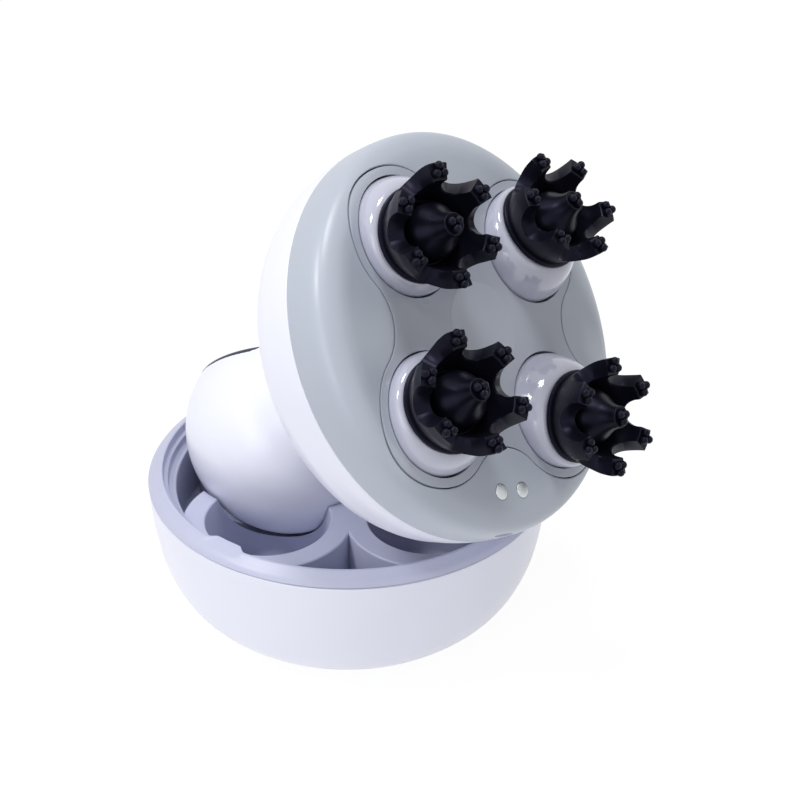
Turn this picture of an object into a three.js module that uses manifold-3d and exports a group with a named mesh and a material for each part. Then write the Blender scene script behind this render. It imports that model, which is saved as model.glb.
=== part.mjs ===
// Electric scalp massager with four kneading heads, leaning in its bowl-shaped charging dock.
// Lengths are millimetres and angles degrees. Z points up; the origin is the centre of the dock's foot.
// The massager has its own frame: the origin is the middle of the face, Z points out of the face,
// and -Y points to the side with the charging contacts. It is built there, then leaned in the dock.
import * as THREE from 'three';
import { mergeVertices } from 'three/addons/utils/BufferGeometryUtils.js';
import Module from 'manifold-3d';

const wasm = await Module();
wasm.setup();

// Clearances and facets
const GAP = 0.3;
const WELD = 1e-4;
const OVERRUN = 1;
const LARGE_ROUND = 32;
const KNOB_ROUND = 24;
const CROWN_ROUND = 18;
const MEDIUM_ROUND = 16;
const SMALL_ROUND = 10;

// Dock
const RIM_EDGE_RADIUS = 59;
const RIM_EDGE_HEIGHT = 44;
const RIM_CROWN = 3.5;
const RIM_WIDTH = 4.4;
const LEDGE_DROP = 2.5;
const LEDGE_WIDTH = 1.1;
const DOCK_WALL = 2.4;
const DOCK_FOOT_RADIUS = 36;
// Dock outlines: inset from the rim's edge, with the height or the rise above the rim
const SHELL_CURVE = [[18.2, 2.1], [12.4, 6], [6.6, 12.6], [2.7, 22], [0.8, 33]];
const RIM_CURVE = [[0.9, 1.5], [2.8, 3.2]];
const PAD_EDGE = 1.5;
const PAD_THICKNESS = 1.2;
const SHELL_LIFT = 0.8;
const TRAY_HEIGHT = 42;
const WELL_RADIUS = 17.8;
const WELL_WALL = 6.5;
const WELL_DRAFT = 2;
const WELL_FLOOR_HEIGHT = 18;
const WELL_TURN = -133;
const NOTCH_FLOOR_HEIGHT = 24;
const NOTCH_WALL = 2.2;
const KNOB_SEAT_CLEARANCE = 0.5;
const KNOB_SEAT_STEPS = 14;
const LINER_FLOOR = 2.5;
const RIM_TAB_WIDTH = 10;
const RIM_TAB_DEPTH = 2;
const RIM_TAB_TURN = -126;
const BASE_OPENING_RADIUS = 31;
const BASE_FLANGE_WIDTH = 3.2;
const BASE_FLANGE_THICKNESS = 1.5;
const DOCK_BOARD_CLEARANCE = 2;
const DOCK_BOARD_THICKNESS = 1.6;
const DOCK_BOARD_HEIGHT = 8;
const DOCK_POST_RADIUS = 2.5;
const DOCK_POST_CIRCLE = 28;
const DOCK_SCREW_CIRCLE = 22;
const DOCK_SCREW_COUNT = 3;
const DOCK_SCREW_TURN = 60;
const DOCK_BOSS_RADIUS = 3.6;
const SCREW_RADIUS = 1.4;
const SCREW_HEAD_RADIUS = 2.7;
const SCREW_HEAD_HEIGHT = 1.5;
const DOCK_SCREW_LENGTH = 9;
const SOCKET_WIDTH = 9;
const SOCKET_HEIGHT = 3.3;
const SOCKET_WALL = 0.35;
const SOCKET_LENGTH = 13;
const SOCKET_MOUTH_DEPTH = 6;
const SOCKET_TONGUE = 0.7;
const SOCKET_TONGUE_WIDTH = 5.8;
const SOCKET_INSET = 1;
const SOCKET_TURN = -20;
const PIN_RADIUS = 1.2;
const PIN_TURN = 92;
const PIN_TIP_HEIGHT = 42.3;
const PIN_TOWER_DROP = 2.3;
const PIN_TOWER_WIDTH = 15;
const PIN_TOWER_DEPTH = 6;

// Where the massager leans in the dock
const FACE_PLACE = [36.5, -26.2, 105.5];
const LEAN_AZIMUTH = -36.32;
const LEAN_FROM_UPRIGHT = 57.12;
const LEAN_TWIST = 67.2;

// Disc of the massager
const DISC_RADIUS = 55;
const DISC_WALL = 2.4;
const FACE_WALL = 2.2;
const PARTING_DEPTH = 13.2;
const SHELL_BACK_DEPTH = 43.5;
// Disc outlines: inset from the disc's edge and depth below the face
const FACE_CURVE = [[8.3, 0], [3.6, 1.2], [1.1, 3], [0.2, 5.6]];
const FACE_INNER_CURVE = [[2.6, 7.4], [4.7, 4], [8.3, FACE_WALL]];
const BACK_CURVE = [[0.3, 17.8], [1.1, 22.4], [2, 26.2], [4.3, 30.6], [8.7, 34.9], [15, 38.6], [22, 41.4]];
const BACK_INNER_CURVE = [[23, 38], [16, 36.1], [10.2, 32.6], [6.3, 28.8], [4.3, 24.9], [3.2, 20.6]];
const NECK_ROOT_RADIUS = 24.3;
const SEAL_WIDTH = 1.6;
const SEAL_HEIGHT = 3.2;
const HEAD_CIRCLE = 32.5;
const POD_OPENING_RADIUS = 16.4;
const CLOVER_RADIUS = 18.7;
const WAIST_RADIUS = 32.3;
const PANEL_THICKNESS = 2.6;
const PANEL_FLANGE = 2;
const PANEL_FLANGE_EDGE = 8.7;
const PANEL_FLANGE_THICKNESS = 1.4;
const CAP_RADIUS = 12;
const CAP_SINK = 0.5;
const CAP_THICKNESS = 1.1;
const NOTCH_RADIUS = 2;
const CONTACT_RADIUS = 2.1;
const CONTACT_SPACING = 8.1;
const CONTACT_CIRCLE = 43.9;
const CONTACT_PROUD = 0.3;
const CONTACT_LENGTH = 5.4;
const CONTACT_FLANGE_WIDTH = 0.9;
const CONTACT_FLANGE_THICKNESS = 1.2;

// Kneading heads: the pivot is where a crown's leaning axis meets the head's spin axis
const HEAD_TILT = 12.5;
const PIVOT_DEPTH = 8.2;
const CROWN_BASE_FROM_PIVOT = 15.5;
const POD_TOP_RADIUS = 11.6;
const POD_HUB_RADIUS = 7;
const POD_STEPS = 4;
const POD_LEAN_EASE = 1.5;
const POD_SHIFT_EASE = 2;
const POD_ROUNDNESS = 2.4;
const SPIGOT_RADIUS = 4.5;
const SPIGOT_LENGTH = 4;
const HEADS = [
  { name: '1', side: [-1, 1], leanTowards: -145, crownTurn: 38.9 },
  { name: '2', side: [1, 1], leanTowards: 118.5, crownTurn: 53.6 },
  { name: '3', side: [-1, -1], leanTowards: 167.3, crownTurn: 39.8 },
  { name: '4', side: [1, -1], leanTowards: -94.5, crownTurn: 33.8 },
];

// Silicone crowns
const CROWN_BASE_RADIUS = 12.4;
const CROWN_BASE_THICKNESS = 1.4;
const CROWN_GROOVE = 0.7;
const CROWN_TIP_HEIGHT = 13.3;
const CROWN_TIP_RADIUS = 15.5;
const FINGER_THICKNESS = 4.4;
// Crown outlines: inset from the tip's outer or inner edge and drop below the tip; the dome's own points
const CROWN_CURVE = [[2.9, 9.3], [1.6, 6.3], [0.5, 3.3]];
const CUP_CURVE = [[0.5, 3.3], [2.5, 8.3]];
const DOME_CURVE = [[7.2, 6.4], [5.6, 9.4], [3.9, 11.8]];
const FINGER_COUNT = 6;
const CUP_FLOOR_HEIGHT = 2.9;
const CUP_FLOOR_RADIUS = 8.2;
const DOME_RADIUS = 7.6;
const DOME_STEP = 0.2;
const POST_HEIGHT = 15.1;
const POST_RADIUS = 2.9;
const SCOOP_SPREAD = 0.325;
const SCOOP_STRETCH = 1.6;
const BEAD_RADIUS = 1.1;
const BEAD_CIRCLE = 1.25;
const BEAD_RISE = 0.6;
const BEADS_PER_TIP = 3;

// Gear train under the face
const GEAR_MODULE = 1.3;
const SUN_TEETH = 28;
const HEAD_TEETH = 22;
const GEAR_THICKNESS = 4.4;
const TOOTH_ADDENDUM = 0.85;
const TOOTH_DEDENDUM = 1.1;
const TOOTH_TIP_HALF = 0.1;
const TOOTH_ROOT_HALF = 0.25;
const SHAFT_RADIUS = 3;
const SHAFT_INTO_POD = 4.5;
const BUSH_WALL = 1.6;
const POD_SEAL_WIDTH = 3.7;
const POD_SEAL_HEIGHT = 2.4;
const FRAME_PLATE_THICKNESS = 2;
const FRAME_PLATE_CLEARANCE = 3.8;
const GEAR_PLATE_THICKNESS = 2.2;
const GEAR_PLATE_STEP = 3;
const BOSS_COUNT = 4;
const BOSS_RADIUS = 4;
const BOSS_EDGE = 4;
const BOSS_LOW = -36.2;
const HOUSING_SCREW_LENGTH = 20;
const FACE_POST_RADIUS = 2.5;
const FACE_POST_EDGE = 0.5;
const FACE_POST_TURNS = [0, 90, 180];
const DRIVE_SHAFT_RADIUS = 2;
const DRIVE_SHAFT_IN_GEARHEAD = 8;
const GEARHEAD_RADIUS = 12;
const GEARHEAD_LENGTH = 14;
const MOTOR_RADIUS = 11;
const MOTOR_LENGTH = 22;
const MOTOR_TAIL_RADIUS = 4;
const MOTOR_TAIL_LENGTH = 2;
const MOTOR_SCREW_RADIUS = 1.2;
const MOTOR_SCREW_HEAD_RADIUS = 2.2;
const MOTOR_SCREW_HEAD_HEIGHT = 1.2;
const MOTOR_SCREW_LENGTH = 6;
const MOTOR_SCREW_CIRCLE = 8.5;
const MOTOR_SCREW_COUNT = 2;
const COLLAR_RADIUS = 15.2;
const COLLAR_WALL = 2.7;
const COLLAR_LENGTH = 6.5;

// Handle knob
const KNOB_CENTRE = [0, -11.3, -84.6];
const KNOB_RADIUS = 31;
const KNOB_BACK = 28;
const KNOB_FRONT = 31;
const NECK_RADIUS = 20.2;
const KNOB_WALL = 2.4;
const KNOB_SHOULDER_ANGLE = 33.2;
const KNOB_SHOULDER_HEIGHT = 21.7;
const KNOB_SHOULDER_SINK = 1.6;
// Neck outline: growth over the neck's radius and distance before its root
const NECK_CURVE = [[0.2, 13], [0, 9], [2.1, 3]];
const NECK_SKIRT_GROWTH = 3;
const NECK_SKIRT_HEIGHT = 8;
const FLAT_TURN = 10.1;
const FLAT_DIP = 3.7;
const FLAT_DISTANCE = 17.7;
const FLAT_FLARE = 5;
const FLAT_FLARE_HEIGHT = 9;
const RING_RADIUS = 25.2;
const RING_HEIGHT = 1.1;
const RING_BAND = 2.4;
const RING_CREST = 1;
const RING_SIDE = 0.7;
const RING_DRAFT = 0.1;
const RING_FALL = 0.2;
const RING_LIP = 1.7;
const RING_LIP_WALL = 0.9;
const LEDGE_THICKNESS = 1.7;
const LEDGE_OPENING_RADIUS = 18.2;
const PLATE_THICKNESS = 2.5;
const PLATE_FLANGE_THICKNESS = 1.2;
const PLATE_FLANGE_STEP = 2;
const PLATE_SINK = 0.4;
const BUTTON_RADIUS = 8.7;
const BUTTON_PROUD = 0.6;
const BUTTON_THICKNESS = 2.6;
const BUTTON_ROUND = 0.5;
const BUTTON_DISH = 0.2;
const BUTTON_STEM_RADIUS = 2.4;
const BUTTON_STEM_LENGTH = 2.9;
const BUTTON_SEAL_THICKNESS = 0.6;
const BUTTON_SEAL_OVERLAP = 1.5;
const SWITCH_SIZE = 6;
const SWITCH_HEIGHT = 3.1;
const SWITCH_FLOOR = 0.5;
const PLUNGER_RADIUS = 1.5;
const PLUNGER_LENGTH = 2.5;
const BOARD_RADIUS = 17.5;
const BOARD_THICKNESS = 1.6;
const BOARD_POST_RADIUS = 1.8;
const BOARD_POST_CIRCLE = 14.5;
const BOARD_POST_COUNT = 3;
const CELL_RADIUS = 8.5;
const CELL_LENGTH = 34;
const CELL_PLACE = [0, -17.5, -88];
const CRADLE_WEB_OFFSET = 10;
const CRADLE_WEB_THICKNESS = 2.4;
const CRADLE_STRIP_WIDTH = 8;
const CRADLE_STRIP_THICKNESS = 2.7;

const radians = THREE.MathUtils.degToRad;
const polar = (radius, angle) => [radius * Math.cos(angle), radius * Math.sin(angle)];

// Solids from profiles and outlines

function revolve(profile, segments = LARGE_ROUND) {
  const points = profile.map(([radius, height]) => new THREE.Vector2(radius, height));
  return new THREE.LatheGeometry(points, segments).rotateX(Math.PI / 2);
}

function rod(radius, low, high, segments = SMALL_ROUND) {
  return revolve([[0, low], [radius, low], [radius, high], [0, high]], segments);
}

function tube(inner, outer, low, high, segments = MEDIUM_ROUND) {
  return revolve([[inner, low], [outer, low], [outer, high], [inner, high], [inner, low]], segments);
}

function block(x0, x1, y0, y1, z0, z1) {
  const centre = [(x0 + x1) / 2, (y0 + y1) / 2, (z0 + z1) / 2];
  return new THREE.BoxGeometry(x1 - x0, y1 - y0, z1 - z0).translate(...centre);
}

function slab(outline, low, high) {
  const shape = new THREE.Shape(outline.map(([x, y]) => new THREE.Vector2(x, y)));
  const geometry = new THREE.ExtrudeGeometry(shape, { depth: high - low, bevelEnabled: false });
  return geometry.translate(0, 0, low);
}

function smooth(points, count) {
  const curve = new THREE.SplineCurve(points.map(([x, y]) => new THREE.Vector2(x, y)));
  return curve.getPoints(count).map((point) => [point.x, point.y]);
}

function arc(centre, radius, from, to, steps) {
  const points = [];
  for (let step = 0; step <= steps; step += 1) {
    const [x, y] = polar(radius, from + ((to - from) * step) / steps);
    points.push([centre[0] + x, centre[1] + y]);
  }
  return points;
}

// Joining and cutting

function signedVolume(position, faces) {
  const corner = [0, 1, 2].map(() => new THREE.Vector3());
  let volume = 0;
  for (let i = 0; i < faces.length; i += 3) {
    corner.forEach((point, k) => point.fromArray(position, 3 * faces[i + k]));
    volume += corner[0].dot(corner[1].clone().cross(corner[2]));
  }
  return volume;
}

function asSolid(geometry) {
  const bare = geometry.index ? geometry.toNonIndexed() : geometry.clone();
  bare.deleteAttribute('normal');
  bare.deleteAttribute('uv');
  const welded = mergeVertices(bare, WELD);
  const index = welded.index.array;
  const faces = [];
  for (let i = 0; i < index.length; i += 3) {
    const [a, b, c] = [index[i], index[i + 1], index[i + 2]];
    if (a !== b && b !== c && c !== a) faces.push(a, b, c);
  }
  const vertProperties = new Float32Array(welded.attributes.position.array);
  if (signedVolume(vertProperties, faces) < 0) faces.reverse();
  return new wasm.Manifold(new wasm.Mesh({ numProp: 3, vertProperties, triVerts: new Uint32Array(faces) }));
}

function asGeometry(solid) {
  const mesh = solid.getMesh();
  const geometry = new THREE.BufferGeometry();
  geometry.setAttribute('position', new THREE.Float32BufferAttribute(mesh.vertProperties, 3));
  geometry.setIndex(Array.from(mesh.triVerts));
  geometry.computeVertexNormals();
  return geometry;
}

function join(...pieces) {
  return asGeometry(pieces.map(asSolid).reduce((whole, piece) => whole.add(piece)));
}

function cut(base, ...tools) {
  return asGeometry(tools.map(asSolid).reduce((whole, tool) => whole.subtract(tool), asSolid(base)));
}

function meet(base, other) {
  return asGeometry(asSolid(base).intersect(asSolid(other)));
}

// Rows of inset and level become radius and height, measured from an edge's radius and a level.
function insetRows(edge, rows, level = 0, direction = 1) {
  return rows.map(([inset, step]) => [edge - inset, level + direction * step]);
}

function around(count, radius, make, turn = 0) {
  return Array.from({ length: count }, (_, i) => {
    const [x, y] = polar(radius, radians(turn) + (2 * Math.PI * i) / count);
    return make(i).translate(x, y, 0);
  });
}

function finish(color, roughness, metalness = 0) {
  return new THREE.MeshStandardMaterial({ color, roughness, metalness });
}

const WHITE_SHELL = finish(0xf3f4f9, 0.28);
const GREY_SHELL = finish(0xb9bfca, 0.4);
const GREY_PANEL = finish(0xb3bac6, 0.3);
const LINER = finish(0xb4b7cc, 0.5);
const LILAC_GLOSS = finish(0xc6c8d8, 0.14);
const BLACK_SILICONE = finish(0x17181f, 0.55);
const RUBBER = finish(0x2b2d31, 0.8);
const CHROME = finish(0xd8dce2, 0.08, 1);
const STEEL = finish(0xaab0b6, 0.3, 1);
const BRONZE = finish(0xb08d57, 0.4, 1);
const ACETAL = finish(0xe9e6dc, 0.45);
const BOARD_GREEN = finish(0x1f6b3f, 0.5);
const CELL_WRAP = finish(0x3a64a8, 0.45);
const INNER_BLACK = finish(0x24262a, 0.6);

function addPiece(group, name, geometry, material) {
  const mesh = new THREE.Mesh(geometry, material);
  mesh.name = name;
  group.add(mesh);
  return mesh;
}

function addEach(group, name, geometries, material) {
  geometries.forEach((geometry, i) => addPiece(group, `${name}_${i + 1}`, geometry, material));
}

// Dock profiles, as radius and height
const SHELL_OUTSIDE = smooth([[DOCK_FOOT_RADIUS, SHELL_LIFT], ...insetRows(RIM_EDGE_RADIUS, SHELL_CURVE),
  [RIM_EDGE_RADIUS, RIM_EDGE_HEIGHT]], 6);
const RIM_INNER_RADIUS = RIM_EDGE_RADIUS - RIM_WIDTH;
const RIM_TOP = RIM_EDGE_HEIGHT + RIM_CROWN;
const LEDGE_HEIGHT = RIM_TOP - LEDGE_DROP;
const TRAY_RADIUS = RIM_INNER_RADIUS - GAP - LEDGE_WIDTH;
const LINER_BOTTOM = WELL_FLOOR_HEIGHT - LINER_FLOOR;
const BASE_TOP = SHELL_LIFT + DOCK_WALL + GAP + BASE_FLANGE_THICKNESS;
const BOARD_TOP = DOCK_BOARD_HEIGHT + DOCK_BOARD_THICKNESS;

const DOCK_BOARD_RADIUS = shellRadiusAt(DOCK_BOARD_HEIGHT) - DOCK_WALL - DOCK_BOARD_CLEARANCE;

const massagerFrame = new THREE.Matrix4().makeTranslation(...FACE_PLACE)
  .multiply(new THREE.Matrix4().makeRotationZ(radians(LEAN_AZIMUTH)))
  .multiply(new THREE.Matrix4().makeRotationY(radians(LEAN_FROM_UPRIGHT)))
  .multiply(new THREE.Matrix4().makeRotationZ(radians(LEAN_TWIST)));

function shellRadiusAt(height) {
  const above = SHELL_OUTSIDE.findIndex(([, level], i) => i > 0 && level >= height);
  const [[r0, h0], [r1, h1]] = [SHELL_OUTSIDE[above - 1], SHELL_OUTSIDE[above]];
  return r0 + ((r1 - r0) * (height - h0)) / (h1 - h0);
}

function wallInside(inset, low, high) {
  const levels = SHELL_OUTSIDE.filter(([, height]) => height > low && height < high);
  return [[shellRadiusAt(low) - inset, low], ...levels.map(([r, h]) => [r - inset, h]),
    [shellRadiusAt(high) - inset, high]];
}

function socketBlock(margin) {
  const half = SOCKET_WIDTH / 2 + margin;
  const low = BOARD_TOP + GAP - margin;
  const high = BOARD_TOP + GAP + SOCKET_HEIGHT + margin;
  const mouth = socketMouth();
  return block(-half, half, mouth - SOCKET_LENGTH, mouth + (margin ? DOCK_WALL * 2 : 0), low, high);
}

function socketMouth() {
  return shellRadiusAt(BOARD_TOP + GAP + SOCKET_HEIGHT / 2) - SOCKET_INSET;
}

function makeDockShell() {
  const floorTop = SHELL_LIFT + DOCK_WALL;
  const inside = wallInside(DOCK_WALL, floorTop, RIM_EDGE_HEIGHT - GAP).reverse();
  const outside = wallInside(0, SHELL_LIFT, RIM_EDGE_HEIGHT - GAP);
  const profile = [[BASE_OPENING_RADIUS, SHELL_LIFT], ...outside, ...inside,
    [BASE_OPENING_RADIUS, floorTop], [BASE_OPENING_RADIUS, SHELL_LIFT]];
  return cut(revolve(profile), socketBlock(GAP).rotateZ(radians(SOCKET_TURN)));
}

// The liner's tray has a well for each head, notches between the wells and a seat where the knob leans.
function makeWells() {
  const well = () => revolve([[0, WELL_FLOOR_HEIGHT], [WELL_RADIUS - WELL_DRAFT, WELL_FLOOR_HEIGHT],
    [WELL_RADIUS, TRAY_HEIGHT], [WELL_RADIUS, RIM_TOP], [0, RIM_TOP]], MEDIUM_ROUND);
  return around(HEADS.length, HEAD_CIRCLE, well, WELL_TURN);
}

function makeNotches() {
  const walls = around(HEADS.length, HEAD_CIRCLE,
    () => rod(WELL_RADIUS + WELL_WALL, LINER_BOTTOM, RIM_TOP + OVERRUN, MEDIUM_ROUND), WELL_TURN);
  return cut(rod(TRAY_RADIUS - NOTCH_WALL, NOTCH_FLOOR_HEIGHT, RIM_TOP, LARGE_ROUND), ...walls);
}

function makeKnobSeat() {
  const centre = new THREE.Vector3(...KNOB_CENTRE).applyMatrix4(massagerFrame);
  const ball = arc([0, 0], KNOB_RADIUS + KNOB_SEAT_CLEARANCE, -Math.PI / 2, Math.PI / 2, KNOB_SEAT_STEPS);
  return revolve(ball, KNOB_ROUND).translate(...centre.toArray());
}

function makeLiner() {
  const seatRadius = shellRadiusAt(RIM_EDGE_HEIGHT) - DOCK_WALL - GAP;
  const outside = wallInside(DOCK_WALL + GAP, LINER_BOTTOM, RIM_EDGE_HEIGHT - OVERRUN);
  const profile = [[0, LINER_BOTTOM], ...outside, [seatRadius, RIM_EDGE_HEIGHT],
    [RIM_EDGE_RADIUS, RIM_EDGE_HEIGHT], ...insetRows(RIM_EDGE_RADIUS, RIM_CURVE, RIM_EDGE_HEIGHT),
    [RIM_INNER_RADIUS, RIM_TOP],
    [RIM_INNER_RADIUS - GAP, LEDGE_HEIGHT], [TRAY_RADIUS, LEDGE_HEIGHT], [TRAY_RADIUS, TRAY_HEIGHT],
    [0, TRAY_HEIGHT]];
  const bosses = around(DOCK_SCREW_COUNT, DOCK_SCREW_CIRCLE,
    () => rod(DOCK_BOSS_RADIUS, BASE_TOP + GAP, LINER_BOTTOM + OVERRUN), DOCK_SCREW_TURN);
  const bores = around(DOCK_SCREW_COUNT, DOCK_SCREW_CIRCLE,
    () => rod(SCREW_RADIUS + GAP, BASE_TOP, BASE_TOP + DOCK_SCREW_LENGTH), DOCK_SCREW_TURN);
  const towerTop = PIN_TIP_HEIGHT - PIN_TOWER_DROP;
  const tower = block(CONTACT_CIRCLE - PIN_TOWER_DEPTH / 2, CONTACT_CIRCLE + PIN_TOWER_DEPTH / 2,
    -PIN_TOWER_WIDTH / 2, PIN_TOWER_WIDTH / 2, LINER_BOTTOM, towerTop).rotateZ(radians(PIN_TURN));
  const tab = block(RIM_INNER_RADIUS - RIM_TAB_DEPTH, RIM_INNER_RADIUS + OVERRUN,
    -RIM_TAB_WIDTH / 2, RIM_TAB_WIDTH / 2, LEDGE_HEIGHT - GAP, RIM_TOP - GAP).rotateZ(radians(RIM_TAB_TURN));
  const tray = cut(revolve(profile), ...makeWells(), makeNotches(), makeKnobSeat());
  const body = join(tray, ...bosses, tower, tab);
  const pinHoles = pinPlaces().map(([x, y]) => rod(PIN_RADIUS + GAP, 0, RIM_TOP).translate(x, y, 0));
  return cut(body, ...bores, ...pinHoles);
}

function pinPlaces() {
  const turn = new THREE.Matrix4().makeRotationZ(radians(PIN_TURN));
  return [-1, 1].map((side) => {
    const place = new THREE.Vector3(CONTACT_CIRCLE, (side * CONTACT_SPACING) / 2, 0).applyMatrix4(turn);
    return [place.x, place.y];
  });
}

function makeBasePlate() {
  const flangeLow = SHELL_LIFT + DOCK_WALL + GAP;
  const bottom = PAD_THICKNESS + GAP;
  const radius = BASE_OPENING_RADIUS - GAP;
  const flange = BASE_OPENING_RADIUS + BASE_FLANGE_WIDTH;
  const body = revolve([[0, bottom], [radius, bottom], [radius, flangeLow], [flange, flangeLow],
    [flange, BASE_TOP], [0, BASE_TOP]]);
  const posts = around(DOCK_SCREW_COUNT, DOCK_POST_CIRCLE,
    () => rod(DOCK_POST_RADIUS, BASE_TOP - OVERRUN, DOCK_BOARD_HEIGHT - GAP));
  const holes = around(DOCK_SCREW_COUNT, DOCK_SCREW_CIRCLE,
    () => rod(SCREW_RADIUS + GAP, 0, DOCK_BOARD_HEIGHT), DOCK_SCREW_TURN);
  const sinks = around(DOCK_SCREW_COUNT, DOCK_SCREW_CIRCLE,
    () => rod(SCREW_HEAD_RADIUS + GAP, 0, bottom + SCREW_HEAD_HEIGHT + GAP), DOCK_SCREW_TURN);
  return cut(join(body, ...posts), ...holes, ...sinks);
}

function makeDockBoard() {
  const holes = around(DOCK_SCREW_COUNT, DOCK_SCREW_CIRCLE,
    () => rod(DOCK_BOSS_RADIUS + GAP, 0, BOARD_TOP + OVERRUN), DOCK_SCREW_TURN);
  return cut(rod(DOCK_BOARD_RADIUS, DOCK_BOARD_HEIGHT, BOARD_TOP, LARGE_ROUND), ...holes);
}

function makeSocket() {
  const inner = SOCKET_WIDTH / 2 - SOCKET_WALL;
  const low = BOARD_TOP + GAP + SOCKET_WALL;
  const high = BOARD_TOP + GAP + SOCKET_HEIGHT - SOCKET_WALL;
  const mouth = socketMouth();
  const middle = (low + high) / 2;
  const half = SOCKET_TONGUE_WIDTH / 2;
  const hollow = block(-inner, inner, mouth - SOCKET_MOUTH_DEPTH, mouth + OVERRUN, low, high);
  const tongue = block(-half, half, mouth - SOCKET_MOUTH_DEPTH - OVERRUN, mouth - SOCKET_INSET,
    middle - SOCKET_TONGUE / 2, middle + SOCKET_TONGUE / 2);
  return join(cut(socketBlock(0), hollow), tongue).rotateZ(radians(SOCKET_TURN));
}

function makeScrew(radius, headRadius, headLow, headHeight, length) {
  const top = headLow + headHeight;
  return revolve([[0, headLow], [headRadius, headLow], [headRadius, top], [radius, top],
    [radius, top + length], [0, top + length]], SMALL_ROUND);
}

function buildDock() {
  const dock = new THREE.Group();
  addPiece(dock, 'dock_outer_shell', makeDockShell(), WHITE_SHELL);
  addPiece(dock, 'dock_liner', makeLiner(), LINER);
  addPiece(dock, 'dock_base_plate', makeBasePlate(), GREY_SHELL);
  addPiece(dock, 'anti_slip_pad', rod(BASE_OPENING_RADIUS - PAD_EDGE, 0, PAD_THICKNESS, LARGE_ROUND), RUBBER);
  addPiece(dock, 'dock_circuit_board', makeDockBoard(), BOARD_GREEN);
  addPiece(dock, 'power_socket', makeSocket(), STEEL);
  const screws = around(DOCK_SCREW_COUNT, DOCK_SCREW_CIRCLE, () => makeScrew(SCREW_RADIUS, SCREW_HEAD_RADIUS,
    PAD_THICKNESS + GAP, SCREW_HEAD_HEIGHT, DOCK_SCREW_LENGTH), DOCK_SCREW_TURN);
  addEach(dock, 'dock_screw', screws, STEEL);
  const pins = pinPlaces().map(([x, y]) => rod(PIN_RADIUS, BOARD_TOP + GAP, PIN_TIP_HEIGHT)
    .translate(x, y, 0));
  addEach(dock, 'charge_pin', pins, CHROME);
  return dock;
}

// Levels inside the disc, from the face down
const FLANGE_LOW = -PANEL_THICKNESS - PANEL_FLANGE_THICKNESS;
const POD_SEAL_LOW = FLANGE_LOW - GAP - POD_SEAL_HEIGHT;
const FRAME_TOP = POD_SEAL_LOW - GAP;
const FRAME_LOW = FRAME_TOP - FRAME_PLATE_THICKNESS;
const GEAR_TOP = FRAME_LOW - 2 * GAP;
const GEAR_LOW = GEAR_TOP - GEAR_THICKNESS;
const GEAR_PLATE_TOP = GEAR_LOW - 2 * GAP;
const GEAR_PLATE_LOW = GEAR_PLATE_TOP - GEAR_PLATE_THICKNESS;
const GEARHEAD_TOP = GEAR_PLATE_LOW - GAP;
const GEARHEAD_LOW = GEARHEAD_TOP - GEARHEAD_LENGTH;
const MOTOR_TOP = GEARHEAD_LOW - GAP;
const BACK_TOP = -PARTING_DEPTH - GAP;
const HEAD_OFFSET = HEAD_CIRCLE * Math.SQRT1_2;
const FRAME_PLATE_RADIUS = DISC_RADIUS - FACE_WALL - FRAME_PLATE_CLEARANCE;
const GEAR_PLATE_RADIUS = FRAME_PLATE_RADIUS - GEAR_PLATE_STEP;
const BOSS_CIRCLE = GEAR_PLATE_RADIUS - BOSS_EDGE - BOSS_RADIUS;
const FACE_POST_CIRCLE = FRAME_PLATE_RADIUS - FACE_POST_EDGE - FACE_POST_RADIUS;
const headPlace = (head) => [head.side[0] * HEAD_OFFSET, head.side[1] * HEAD_OFFSET];

// The clover runs round the four pods and draws in between them.
function cloverOutline(grow) {
  const reach = WAIST_RADIUS - CLOVER_RADIUS;
  const waistCentre = (2 * HEAD_OFFSET ** 2 - reach ** 2) / (2 * (HEAD_OFFSET - reach));
  const waist = waistCentre - WAIST_RADIUS - grow;
  const lobe = CLOVER_RADIUS + grow;
  const touch = Math.atan2(-HEAD_OFFSET, waistCentre - HEAD_OFFSET);
  const outline = [];
  for (let quarter = 0; quarter < 4; quarter += 1) {
    const lobeArc = arc([HEAD_OFFSET, HEAD_OFFSET], lobe, touch, Math.PI / 2 - touch, 6);
    const waistArc = arc([0, waistCentre], waist, -touch - Math.PI / 2, touch - Math.PI / 2, 3);
    const turn = (quarter * Math.PI) / 2;
    for (const [x, y] of [...lobeArc, ...waistArc.slice(1, -1)]) {
      outline.push([x * Math.cos(turn) - y * Math.sin(turn), x * Math.sin(turn) + y * Math.cos(turn)]);
    }
  }
  return outline;
}

const FACE_OUTSIDE = [[0, 0], ...insetRows(DISC_RADIUS, FACE_CURVE, 0, -1), [DISC_RADIUS, -PARTING_DEPTH]];

function makeFacePlate() {
  const inside = [[DISC_RADIUS - FACE_WALL, -PARTING_DEPTH],
    ...insetRows(DISC_RADIUS, FACE_INNER_CURVE, 0, -1), [0, -FACE_WALL]];
  const bores = contactPlaces().map(([x, y]) => rod(CONTACT_RADIUS + GAP, -DISC_RADIUS, DISC_RADIUS)
    .translate(x, y, 0));
  const posts = FACE_POST_TURNS.map((turn) => rod(FACE_POST_RADIUS, FRAME_TOP + GAP, -FACE_WALL)
    .translate(...polar(FACE_POST_CIRCLE, radians(turn)), 0));
  const notch = new THREE.CylinderGeometry(NOTCH_RADIUS, NOTCH_RADIUS, FACE_WALL * 2, SMALL_ROUND)
    .translate(0, -DISC_RADIUS, -PARTING_DEPTH / 2);
  const window = slab(cloverOutline(GAP), -DISC_RADIUS, DISC_RADIUS);
  const plate = cut(revolve([...FACE_OUTSIDE, ...inside]), window);
  return cut(join(plate, ...posts), ...bores, notch);
}

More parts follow.
